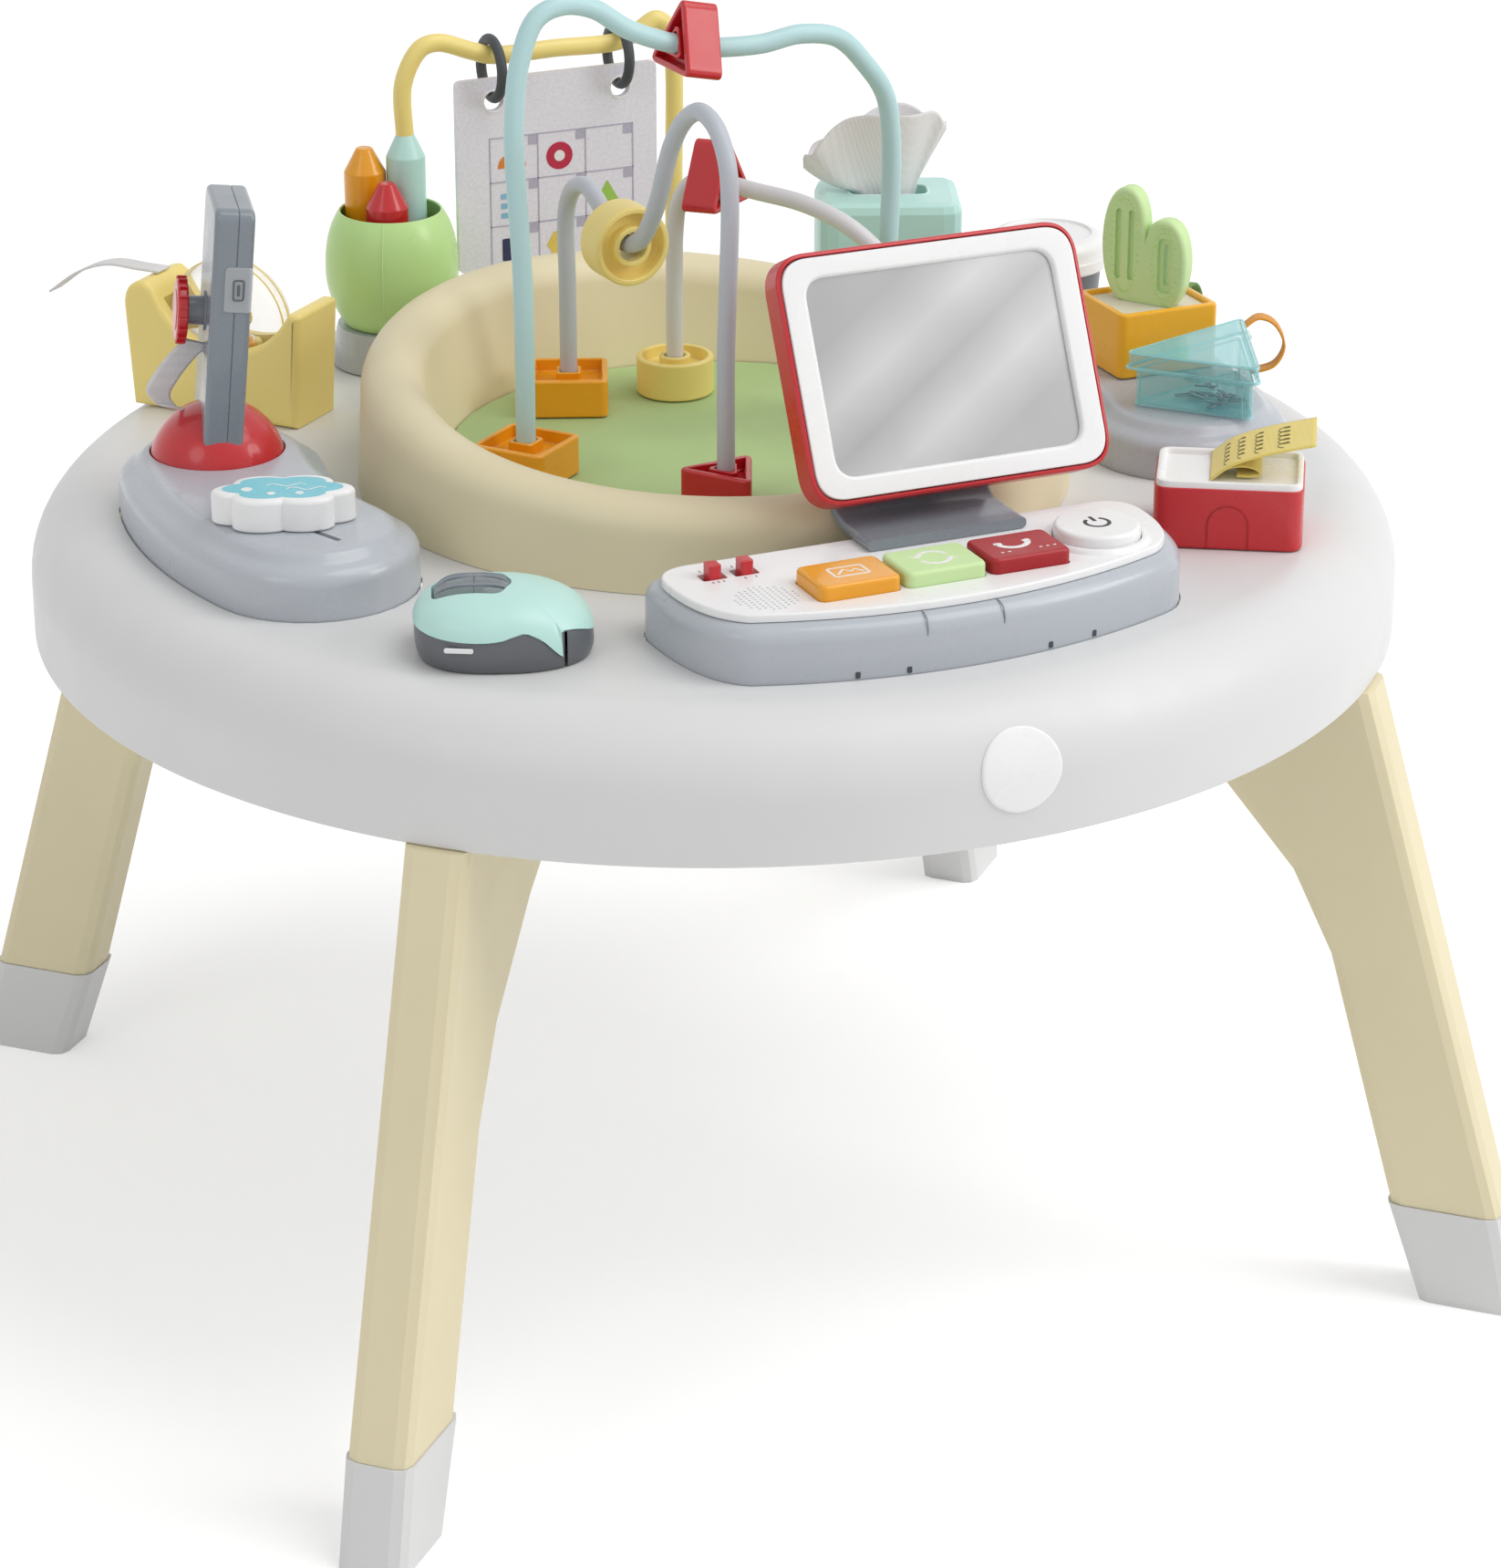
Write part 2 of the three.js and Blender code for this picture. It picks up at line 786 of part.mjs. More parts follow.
function makeLegs() {
  const names = ["front_left", "front_right", "back_right", "back_left"];
  const seam = footHeight + seatGap;
  const past = 2 * legEdge;
  const long = upright(legProfile(seam - past), legWidth, legEdge);
  const body = cut(meet(long, between(seam, tableHeight)), roundTheShell());
  const leg = join(body, upright(tenonProfile(0), tenonWidth, 0));
  const socket = upright(tenonProfile(seatGap), tenonWidth + 2 * seatGap, 0);
  const block = upright(footProfile(-past, footHeight + past), legWidth + 2 * footLip, legEdge);
  const foot = cut(meet(block, between(0, footHeight)), socket);
  for (let i = 0; i < legCount; i += 1) {
    const corner = place(model, 0, 0, 0, firstLegAngle + (fullTurn * i) / legCount);
    piece(`leg_${names[i]}`, leg, cream, corner);
    piece(`foot_${names[i]}`, foot, white, corner);
  }
}

// Bead maze: a ring that rises towards the back, with the floor on its ledge
const floorTop = floorLift + floorThickness;

function ringHeightAt(angle) {
  const share = (1 + Math.cos(angle - ringHighAngle)) / 2;
  return ringLowHeight + ringRise * share ** ringRiseSharpness;
}

function ringSection(angle) {
  const rounding = (ringRimOuterRadius - ringRimInnerRadius) / 2;
  const height = ringHeightAt(angle);
  const section = new THREE.Path();
  section.moveTo(ringFootRadius, seatGap);
  section.lineTo(ringRimOuterRadius, height - rounding);
  section.absarc(ringRimOuterRadius - rounding, height - rounding, rounding, 0, halfTurn, false);
  section.lineTo(floorRadius, floorTop);
  section.lineTo(floorRadius, floorLift - seatGap);
  section.lineTo(floorRadius - floorLedge, floorLift - seatGap);
  section.lineTo(floorRadius - floorLedge, seatGap);
  const across = new THREE.Vector3(Math.cos(angle), Math.sin(angle), 0);
  return section.getPoints(edgeSteps + 1).map(({ x, y }) => {
    const point = across.clone().multiplyScalar(x);
    point.z = y;
    return point;
  });
}

function makeMaze() {
  const sections = [];
  for (let i = 0; i < ringPoints; i += 1) sections.push(ringSection((fullTurn * i) / ringPoints));
  piece("maze_ring", loft(sections, true), cream);
  const flatShare = Math.cos(halfTurn / ringPoints);
  const floor = rod(floorRadius * flatShare - seatGap, floorThickness, ringPoints);
  piece("maze_floor", floor.translate(0, 0, floorLift + floorThickness / 2), floorGreen);
}

const onFloor = ([acrossShare, alongShare]) => [floorRadius * acrossShare, floorRadius * alongShare];

function wireCurve({ fromShares, toShares, height, routeShares }) {
  const [fromX, fromY] = onFloor(fromShares);
  const [toX, toY] = onFloor(toShares);
  const points = routeShares.map(([along, up]) => new THREE.Vector3(
    fromX + (toX - fromX) * along,
    fromY + (toY - fromY) * along,
    floorTop + seatGap + height * up,
  ));
  return new THREE.CatmullRomCurve3(points, false, "centripetal");
}

function makeWires() {
  piece("mint_wire", tube(wireCurve(mintWire), mintWire.radius, wireSteps), mint);
  piece("grey_wire", tube(wireCurve(greyWire), greyWire.radius, wireSteps), lightGrey);
  piece("white_wire", tube(wireCurve(whiteWire), whiteWire.radius, wireSteps), white);
}

// Beads: a moulded block with a sunk face, a collar in it and a bore for the wire
const square = (inset) => roundedRectangle(beadSize - 2 * inset, beadSize - 2 * inset, beadCorner);
const round = (inset) => circle(beadSize / 2 - inset);

function triangle(inset) {
  const points = [0, 1, 2].map((i) => {
    const angle = quarterTurn + (fullTurn * i) / 3;
    const reach = triangleReach - 2 * inset;
    return [reach * Math.cos(angle), reach * Math.sin(angle)];
  });
  return roundedPolygon(points, triangleCorner);
}

function bead(outline, bore, faces) {
  const block = slab(outline(0), beadHeight, beadEdge, smallArcPoints, 1).translate(0, 0, -beadHeight / 2);
  const collar = bore + beadCollarWall;
  const pocketHeight = beadPocketDepth + overrun;
  const pocket = cut(
    slab(outline(beadWall), pocketHeight, 0, smallArcPoints),
    rod(collar, 2 * pocketHeight, 2 * tubeSides),
  );
  const pocketAt = beadHeight / 2 - beadPocketDepth;
  const pockets = [pocket.clone().translate(0, 0, pocketAt)];
  if (faces === 2) pockets.push(pocket.clone().rotateX(halfTurn).translate(0, 0, -pocketAt));
  return cut(block, rod(bore, beadHeight + overrun, 2 * tubeSides), ...pockets);
}

function floorBead(name, outline, wire, end, turn, material) {
  const [x, y] = onFloor(wire[end]);
  const at = place(desk, x, y, floorTop + seatGap + beadHeight / 2, turn);
  piece(name, bead(outline, wire.radius + beadBoreGap, 1), material, at);
}

// A bead up on its wire, at one of the points of the wire's route
function wireBead(name, outline, wire, stop, material) {
  const curve = wireCurve(wire);
  const share = stop / (wire.routeShares.length - 1);
  const at = place(desk, ...curve.getPoint(share), 0);
  const along = curve.getTangent(share);
  const level = new THREE.Vector3(0, 0, 1).cross(along).normalize();
  const out = along.clone().cross(level);
  at.quaternion.setFromRotationMatrix(new THREE.Matrix4().makeBasis(level, out, along));
  piece(name, bead(outline, wire.radius + wire.beadPlay, 2), material, at);
}

function makeBeads() {
  floorBead("mint_wire_block", square, mintWire, "fromShares", mintBlockTurn, orange);
  floorBead("grey_wire_block", square, greyWire, "fromShares", greyBlockTurn, orange);
  floorBead("grey_wire_wedge", triangle, greyWire, "toShares", greyWedgeTurn, red);
  floorBead("white_wire_puck", round, whiteWire, "fromShares", 0, yellow);
  wireBead("mint_wire_bead", triangle, mintWire, mintBeadStop, red);
  wireBead("grey_wire_bead", round, greyWire, greyBeadStop, yellow);
  wireBead("white_wire_bead", triangle, whiteWire, whiteBeadStop, red);
}

// A base: rounded above, with a plug of the same outline that drops through the table top
function base(outline, height, rounding, plugDepth) {
  const top = slab(outline, height + rounding, rounding, bigArcPoints).translate(0, 0, -rounding);
  const plug = slab(outline, height / 2 + plugDepth, 0, bigArcPoints).translate(0, 0, -plugDepth);
  return join(top, plug);
}

// Toy phone: a ball in the base carries the handset, and a disc spins on its face; all lean back about the ball
function leanBack(solid) {
  return solid.translate(0, 0, -ballZ).rotateY(-phoneLean).translate(0, 0, ballZ);
}

function cloudOutline() {
  const count = cloudLobes * cloudLobePoints;
  const shape = new THREE.Shape();
  for (let i = 0; i < count; i += 1) {
    const angle = (fullTurn * i) / count;
    const swell = 1 - cloudDipShare * (1 - Math.abs(Math.cos((cloudLobes * angle) / 2)));
    const x = (cloudLength / 2) * swell * Math.cos(angle);
    const y = (cloudWidth / 2) * swell * Math.sin(angle);
    if (i === 0) shape.moveTo(x, y);
    else shape.lineTo(x, y);
  }
  return shape;
}

function makePhone() {
  const outline = bentSlot(phoneBaseRadius, baseHalfWidth, phoneBaseFrom, phoneBaseTo);
  const socket = ball(ballRadius + holeGap).translate(ballX, ballY, ballZ);
  const slotLength = cloudStemLength + 2 * cloudTravel + 2 * slideGap;
  const slotWidth = cloudStemWidth + 2 * slideGap;
  const slot = slab(roundedRectangle(slotLength, slotWidth, slotWidth / 2), cloudStemDepth + 2 * overrun)
    .rotateZ(cloudSlotTurn)
    .translate(cloudX, cloudY, baseHeight - cloudStemDepth - overrun);
  piece("phone_base", cut(base(outline, baseHeight, baseRounding, phonePlugDepth), socket, slot), lightGrey);

  const cloud = place(desk, cloudX, cloudY, baseHeight + seatGap, 0);
  const puff = slab(cloudOutline(), cloudHeight, cloudEdge).rotateZ(cloudTurn);
  const stem = slab(roundedRectangle(cloudStemLength, cloudStemWidth, cloudStemWidth / 2),
    cloudStemDepth + cloudHeight / 2);
  stem.rotateZ(cloudSlotTurn).translate(0, 0, -cloudStemDepth);
  piece("cloud_slider", join(puff, stem), white, cloud);

  const phone = place(desk, ballX, ballY, 0, phoneTurn);
  const handset = upright(
    roundedPolygon([
      [-handsetWidth / 2, handsetFoot],
      [handsetWidth / 2, handsetFoot],
      [handsetWidth / 2, handsetFoot + handsetLength],
      [-handsetWidth / 2, handsetFoot + handsetLength],
    ], handsetCorner),
    handsetThickness,
    handsetEdge,
  ).rotateZ(quarterTurn).translate(handsetShift, 0, 0);
  const faceX = handsetShift + handsetThickness / 2;
  const stub = rod(stubRadius, dialStandOff, roundPoints).rotateY(quarterTurn)
    .translate(faceX + dialStandOff / 2 - seatGap, 0, dialHeight);
  const stubBore = rod(dialPinRadius + slideGap, 2 * stubBoreDepth, tubeSides * 2).rotateY(quarterTurn)
    .translate(faceX + dialStandOff - seatGap, 0, dialHeight);
  const phoneBody = cut(join(handset, stub), stubBore);
  piece("phone_handset", leanBack(phoneBody), midGrey, phone);

  const keep = slab(circle(2 * ballRadius), 2 * ballRadius).translate(0, 0, ballZ - ballCut);
  const cavity = upright(
    roundedRectangle(handsetWidth + 2 * seatGap, 2 * (handsetLength + seatGap), handsetCorner),
    handsetThickness + 2 * seatGap,
    0,
  ).rotateZ(quarterTurn).translate(handsetShift, 0, handsetFoot + handsetLength);
  const dome = meet(ball(ballRadius).translate(0, 0, ballZ), keep);
  piece("phone_ball", leanBack(cut(dome, cavity)), red, phone);

  const dialX = faceX + dialStandOff;
  const disc = slab(circle(dialRadius), dialThickness, dialEdge, arcPoints, 1);
  const pinLength = stubBoreDepth - slideGap + dialThickness / 2;
  const pin = rod(dialPinRadius, pinLength, 2 * tubeSides).translate(0, 0, dialThickness / 2 - pinLength / 2);
  const dial = join(disc, pin).rotateY(quarterTurn).translate(dialX, 0, dialHeight);
  piece("phone_dial", leanBack(dial), red, phone);

  const strapTop = dialHeight - dialRadius - strapDrop;
  const strapReach = faceX + strapBulge;
  const strapEndX = faceX + strapBulge / 2;
  const strapFoot = ballZ + Math.sqrt(ballRadius ** 2 - strapEndX ** 2) + strapThickness / 2;
  const strapCurve = new THREE.CatmullRomCurve3([
    new THREE.Vector3(faceX + seatGap, 0, strapTop),
    new THREE.Vector3(strapEndX, 0, strapTop - strapThickness),
    new THREE.Vector3(strapReach, 0, (strapTop + strapFoot) / 2),
    new THREE.Vector3(strapEndX + strapThickness, 0, strapFoot + strapDrop),
    new THREE.Vector3(strapEndX, 0, strapFoot),
  ]);
  const acrossStrap = () => new THREE.Vector3(0, 1, 0);
  const strap = strip(strapCurve, strapWidth, strapThickness, wireSteps / 4, acrossStrap);
  piece("phone_strap", leanBack(strap), cloth, phone);
}

// Tape dispenser: a saddle with a pocket, a drum that spins in it and a ribbon over its outer end
function makeTape() {
  const tape = place(desk, tapeX, tapeY, seatGap, tapeTurn);
  const half = tapeLength / 2;
  const profile = new THREE.Shape();
  profile.moveTo(-half + tapeEdge, 0);
  profile.lineTo(half - tapeEdge, 0);
  profile.lineTo(half, tapeInnerHeight);
  profile.lineTo(half - tapeEndThickness / 2, tapeInnerHeight);
  profile.quadraticCurveTo(half - tapeRamp, tapeDipHeight, 0, tapeDipHeight);
  profile.quadraticCurveTo(-half / 2, tapeDipHeight, -half + tapeEndThickness, tapeOuterHeight);
  profile.lineTo(-half, tapeOuterHeight);
  const body = upright(profile, tapeWidth, tapeEdge);
  const pocket = rod(rollRadius + rollGap, rollWidth + 2 * rollGap)
    .rotateX(quarterTurn).translate(0, 0, rollHeight);
  const bores = rod(rollPinRadius + slideGap, rollWidth + 2 * (rollGap + rollPinReach), 2 * tubeSides)
    .rotateX(quarterTurn).translate(0, 0, rollHeight);
  piece("tape_stand", cut(body, pocket, bores), yellow, tape);

  const rollHalf = rollWidth / 2;
  const section = new THREE.Path();
  section.moveTo(0, -rollHalf);
  section.lineTo(rollRadius - rollRounding, -rollHalf);
  section.absarc(rollRadius - rollRounding, -rollHalf + rollRounding, rollRounding, -quarterTurn, 0, false);
  section.absarc(rollRadius - rollRounding, rollHalf - rollRounding, rollRounding, 0, quarterTurn, false);
  section.lineTo(0, rollHalf);
  const drum = turned(section.getPoints(edgeSteps));
  const pins = rod(rollPinRadius, rollWidth + 2 * rollPinReach, 2 * tubeSides);
  const globe = join(drum, pins).rotateX(quarterTurn).translate(0, 0, rollHeight);
  piece("tape_globe", globe, clearAmber, tape);

  const outer = tapeOuterHeight + ribbonThickness;
  const ribbonCurve = new THREE.CatmullRomCurve3([
    new THREE.Vector3(-half + tapeEndThickness, 0, outer),
    new THREE.Vector3(-half, 0, outer),
    new THREE.Vector3(-half - ribbonReach / 3, 0, outer),
    new THREE.Vector3(-half - (2 * ribbonReach) / 3, 0, outer - ribbonDroop / 3),
    new THREE.Vector3(-half - ribbonReach, 0, outer - ribbonDroop),
  ]);
  const across = () => new THREE.Vector3(0, 1, 0);
  piece("tape_ribbon", strip(ribbonCurve, ribbonWidth, ribbonThickness, wireSteps / 5, across), cloth, tape);
}

// Crayon cup on its pedestal, two crayons on one foot, and the calendar's arch
function crayon(top, bottom) {
  const points = [
    new THREE.Vector2(0, bottom),
    new THREE.Vector2(crayonRadius, bottom),
    new THREE.Vector2(crayonRadius, top - crayonTipLength),
    new THREE.Vector2(crayonTipRadius, top),
    new THREE.Vector2(0, top),
  ];
  return turned(points, 2 * tubeSides);
}

const cupFloor = pedestalHeight + 2 * cupWall;

function makeCup() {
  const cup = place(desk, cupX, cupY, 0, 0);
  const section = new THREE.Path();
  section.moveTo(0, seatGap);
  section.lineTo(pedestalRadius, seatGap);
  section.lineTo(pedestalRadius - cupWall, pedestalHeight);
  section.lineTo(cupFootRadius, pedestalHeight);
  section.quadraticCurveTo(cupBellyRadius, cupBellyHeight - cupWall, cupBellyRadius, cupBellyHeight);
  section.quadraticCurveTo(cupBellyRadius, cupHeight - 2 * cupWall, cupRimRadius, cupHeight);
  section.lineTo(cupRimRadius - cupWall, cupHeight);
  const innerBelly = cupBellyRadius - cupWall;
  section.quadraticCurveTo(innerBelly, cupHeight - 3 * cupWall, innerBelly, cupBellyHeight);
  section.quadraticCurveTo(innerBelly, cupBellyHeight - cupWall, cupFootRadius - cupWall, cupFloor);
  section.lineTo(0, cupFloor);
  piece("crayon_cup", turned(section.getPoints(edgeSteps)), green, cup);

  const foot = cupFloor + seatGap;
  const orangeOne = crayon(orangeCrayonTop, foot).translate(orangeCrayonX, orangeCrayonY, 0);
  const redOne = crayon(redCrayonTop, foot).translate(redCrayonX, redCrayonY, 0);
  const webX = (orangeCrayonX + redCrayonX) / 2;
  const webY = (orangeCrayonY + redCrayonY) / 2;
  const web = slab(roundedRectangle(crayonRadius, 2 * crayonRadius, crayonRadius / 3), crayonWebThickness)
    .translate(webX, webY, foot);
  piece("crayons", join(orangeOne, redOne, web), orange, cup);
}

function makeCalendar() {
  const startX = cupX + mintCrayonX;
  const startY = cupY + mintCrayonY;
  const pen = crayon(mintCrayonTop, cupFloor + seatGap).translate(startX, startY, 0);
  const bend = 2 * archRadius;
  const hump = archBarHeight + archHump;
  const point = (x, z) => new THREE.Vector3(x, startY, z);
  const route = new THREE.CatmullRomCurve3([
    point(startX, mintCrayonTop - archRadius),
    point(startX, archBarHeight - bend),
    point(startX + bend, hump - archRadius / 2),
    point(startX + 2 * bend, hump),
    point(startX + 4 * bend, archBarHeight + archHump / 3),
    point(pageX - pageHoleSpacing / 2, archBarHeight),
    point(pageX, archBarHeight),
    point(pageX + pageHoleSpacing / 2, archBarHeight),
    point(archFootX - 2 * bend, archBarHeight + archHump / 2),
    point(archFootX - bend, hump),
    point(archFootX - bend / 3, hump - bend / 2),
    point(archFootX, archBarHeight - bend),
    point(archFootX, archBarHeight / 2),
    point(archFootX, seatGap),
  ], false, "centripetal");
  piece("calendar_arch", join(pen, tube(route, archRadius, wireSteps)), yellow);

  const ringCentreZ = archBarHeight + archRadius + ringGap - ringInnerRadius;
  const holeZ = ringCentreZ - ringInnerRadius + ringGap - pageHoleRadius;
  const page = place(desk, pageX, startY, holeZ + pageHoleInset - pageHeight, 0);
  const sheet = upright(
    roundedPolygon([
      [-pageWidth / 2, 0],
      [pageWidth / 2, 0],
      [pageWidth / 2, pageHeight],
      [-pageWidth / 2, pageHeight],
    ], pageCorner),
    pageThickness,
    0,
  );
  const holes = [-1, 1].map((side) => rod(pageHoleRadius, 2 * overrun, 2 * tubeSides).rotateX(quarterTurn)
    .translate((side * pageHoleSpacing) / 2, 0, pageHeight - pageHoleInset));
  piece("calendar_page", cut(sheet, ...holes), paper, page);
  [["left", -1], ["right", 1]].forEach(([side, sign]) => {
    const at = place(desk, pageX + (sign * pageHoleSpacing) / 2, startY, ringCentreZ, 0);
    const ringMiddle = ringInnerRadius + ringTubeRadius;
    const ring = new THREE.TorusGeometry(ringMiddle, ringTubeRadius, tubeSides - 2, 2 * tubeSides);
    piece(`calendar_ring_${side}`, ring.rotateY(quarterTurn), darkGrey, at);
  });
}

// Tissue box with its gathered tissue, and the coffee cup
function tissueRing(share) {
  const points = [];
  const spread = 1 - Math.cos(quarterTurn * share);
  const halfLength = tissueSlotLength / 3 + (tissueReach - tissueSlotLength / 3) * spread;
  const halfWidth = tissueSlotWidth / 4 + (tissueDepth - tissueSlotWidth / 4) * spread;
  for (let i = 0; i < 4 * tissueFolds; i += 1) {
    const angle = (fullTurn * i) / (4 * tissueFolds);
    const fold = 1 + spread * Math.cos(tissueFolds * angle) / tissueFolds;
    const crown = tissueHeight * share * (1 - (spread * Math.cos(angle) ** 2) / 3);
    const along = halfLength * fold * Math.cos(angle);
    const across = halfWidth * fold * Math.sin(angle);
    points.push(new THREE.Vector3(along, across, crown));
  }
  return points;
}

function makeTissueBox() {
  const at = place(desk, tissueBoxX, tissueBoxY, seatGap, tissueBoxTurn);
  const plan = roundedRectangle(tissueBoxLength, tissueBoxWidth, tissueBoxCorner);
  const box = slab(plan, tissueBoxHeight, tissueBoxEdge);
  const slot = slab(roundedRectangle(tissueSlotLength, tissueSlotWidth, tissueSlotWidth / 3),
    tissueSlotDepth + overrun).translate(0, 0, tissueBoxHeight - tissueSlotDepth);
  piece("tissue_box", cut(box, slot), mint, at);
  const shares = [0, 0.12, 0.35, 0.6, 0.85, 1];
  const puff = loft(shares.map(tissueRing), false);
  puff.translate(0, 0, tissueBoxHeight - tissueSlotDepth + seatGap);
  piece("tissue", puff, cloth, at);
}

function makeCoffee() {
  const at = place(desk, coffeeX, coffeeY, 0, 0);
  const section = new THREE.Path();
  section.moveTo(0, seatGap);
  section.lineTo(coffeeFootRadius, seatGap);
  section.lineTo(coffeeRadius, coffeeLidBottom);
  section.lineTo(coffeeLidRadius, coffeeLidBottom);
  section.lineTo(coffeeLidRadius, coffeeHeight - coffeeLidEdge);
  section.quadraticCurveTo(coffeeLidRadius, coffeeHeight, coffeeLidRadius - 2 * coffeeLidEdge, coffeeHeight);
  section.lineTo(0, coffeeHeight);
  piece("coffee_cup", turned(section.getPoints(edgeSteps + 1)), darkGrey, at);
}

// Keyboard: an open base with the sound module in it, and the deck that covers it
const deckBottom = keyboardBaseHeight + seatGap;
const deckTop = deckBottom + deckThickness;

function keyHole(outline) {
  return slab(outline, deckThickness + 2 * overrun).translate(0, 0, deckBottom - overrun);
}

function switchStem(length) {
  return roundedRectangle(length, switchWidth, switchLength / 4);
}

function makeKeyboard() {
  const inside = keyboardOutline(keyboardWallInset);
  const floor = tableWall - keyboardPlugDepth;
  const cavity = slab(inside, keyboardBaseHeight - floor + overrun, 0, bigArcPoints).translate(0, 0, floor);
  const body = base(keyboardOutline(0), keyboardBaseHeight, keyboardRounding, keyboardPlugDepth);
  piece("keyboard_base", cut(body, cavity), lightGrey);

  const moduleTop = keyTop - keyDepth - keyTravel - seatGap;
  const module = slab(keyboardOutline(moduleInset), moduleTop - floor - seatGap, 0, bigArcPoints);
  piece("sound_module", module.translate(0, 0, floor + seatGap), darkGrey);

  const keys = [["key_orange", -1, orange], ["key_green", 0, green], ["key_red", 1, red]];
  const square = roundedRectangle(keyLength, keyWidth, keyCorner);
  const hole = roundedRectangle(keyLength + 2 * slideGap, keyWidth + 2 * slideGap, keyCorner);
  const holes = keys.map(([, step]) => keyHole(hole).translate(keyRowX + step * keyPitch, keyRowY, 0));
  const powerHole = keyHole(circle(powerRadius + slideGap));
  holes.push(powerHole.translate(powerX, powerY, 0));
  const switches = [["volume_switch", 0], ["mode_switch", 1]];
  const slotLength = switchLength + 2 * switchTravel + 2 * slideGap;
  switches.forEach(([, step]) => {
    const slot = roundedRectangle(slotLength, switchWidth + 2 * slideGap, switchLength / 4);
    holes.push(keyHole(slot).translate(switchX + step * switchSpacing, switchY, 0));
  });
  const deck = slab(keyboardOutline(deckInset), deckThickness, deckEdge, bigArcPoints, 1)
    .translate(0, 0, deckBottom);
  piece("keyboard_deck", cut(deck, ...holes), white);

  keys.forEach(([name, step, material]) => {
    const key = slab(square, keyDepth, keyEdge, smallArcPoints)
      .translate(keyRowX + step * keyPitch, keyRowY, keyTop - keyDepth);
    piece(name, key, material);
  });
  const button = slab(circle(powerRadius), keyDepth, keyEdge);
  piece("power_button", button.translate(powerX, powerY, keyTop - keyDepth), white);

  switches.forEach(([name, step]) => {
    const flangeBottom = deckBottom - seatGap - switchFlangeThickness;
    const knob = slab(switchStem(switchLength), switchTop - flangeBottom, 0).translate(0, 0, flangeBottom);
    const flange = slab(switchStem(switchLength + 2 * switchFlange), switchFlangeThickness)
      .translate(0, 0, flangeBottom);
    const both = join(knob, flange).translate(switchX + step * switchSpacing, switchY, 0);
    piece(name, both, red);
  });
}

// Monitor: the shell holds the bezel and the mirror, and its ears turn on the stand's pins
const leanUp = new THREE.Vector2(Math.sin(monitorLean), Math.cos(monitorLean));
const leanOut = new THREE.Vector2(-Math.cos(monitorLean), Math.sin(monitorLean));
const pivotY = monitorY - pivotDrop * leanUp.x - (monitorThickness + pivotBehind) * leanOut.x;
const pivotZ = monitorZ - pivotDrop * leanUp.y - (monitorThickness + pivotBehind) * leanOut.y;

function makeMonitor() {
  const at = place(desk, monitorX, monitorY, monitorZ, 0);
  at.rotation.x = quarterTurn - monitorLean;
  const front = roundedRectangle(monitorWidth, monitorHeight, monitorCorner);
  const back = slab(front, monitorThickness, monitorEdge).translate(0, 0, -monitorThickness);
  const frameWidth = monitorWidth - 2 * bezelInset;
  const frameHeight = monitorHeight - 2 * bezelInset;
  const frameCorner = monitorCorner - bezelInset;
  const pocket = slab(roundedRectangle(frameWidth, frameHeight, frameCorner), bezelDepth + overrun)
    .translate(0, 0, -bezelDepth);
  const earOutline = new THREE.Shape();
  const earReach = pivotBehind;
  earOutline.moveTo(earRadius, earReach + overrun / 2);
  earOutline.lineTo(-earRadius, earReach + overrun / 2);
  earOutline.lineTo(-earRadius, 0);
  earOutline.absarc(0, 0, earRadius, halfTurn, fullTurn, false);
  const earAt = barrelLength / 2 + seatGap;
  const pivotX = standX - monitorX;
  const ears = [-1, 1].map((side) => {
    const ear = slab(earOutline, earThickness).rotateX(quarterTurn).rotateZ(quarterTurn);
    const shift = side > 0 ? earAt : -earAt - earThickness;
    return ear.translate(pivotX + shift, -pivotDrop, -monitorThickness - pivotBehind);
  });
  const bore = rod(pivotPinRadius + slideGap, barrelLength + 2 * (earThickness + overrun), 2 * tubeSides)
    .rotateY(quarterTurn).translate(pivotX, -pivotDrop, -monitorThickness - pivotBehind);
  piece("monitor_shell", cut(join(cut(back, pocket), ...ears), bore), red, at);

  const bezelBottom = -bezelDepth + seatGap;
  const bezelPlate = slab(roundedRectangle(frameWidth - 2 * seatGap, frameHeight - 2 * seatGap, frameCorner),
    bezelProud - bezelBottom, bezelProud).translate(0, 0, bezelBottom);
  const window = slab(roundedRectangle(screenWidth, screenHeight, screenCorner), bezelDepth + 2 * overrun)
    .translate(0, 0, -bezelDepth - overrun);
  const seatDepth = bezelProud - bezelFrontThickness;
  const seat = slab(roundedRectangle(screenWidth + 2 * mirrorLap, screenHeight + 2 * mirrorLap, screenCorner),
    seatDepth - bezelBottom + overrun).translate(0, 0, bezelBottom - overrun);
  piece("monitor_bezel", cut(bezelPlate, window, seat), white, at);
  const mirrorLength = screenWidth + 2 * (mirrorLap - seatGap);
  const mirrorWidth = screenHeight + 2 * (mirrorLap - seatGap);
  const mirror = slab(roundedRectangle(mirrorLength, mirrorWidth, screenCorner), mirrorThickness)
    .translate(0, 0, seatDepth - seatGap - mirrorThickness);
  piece("monitor_mirror", mirror, silver, at);
}

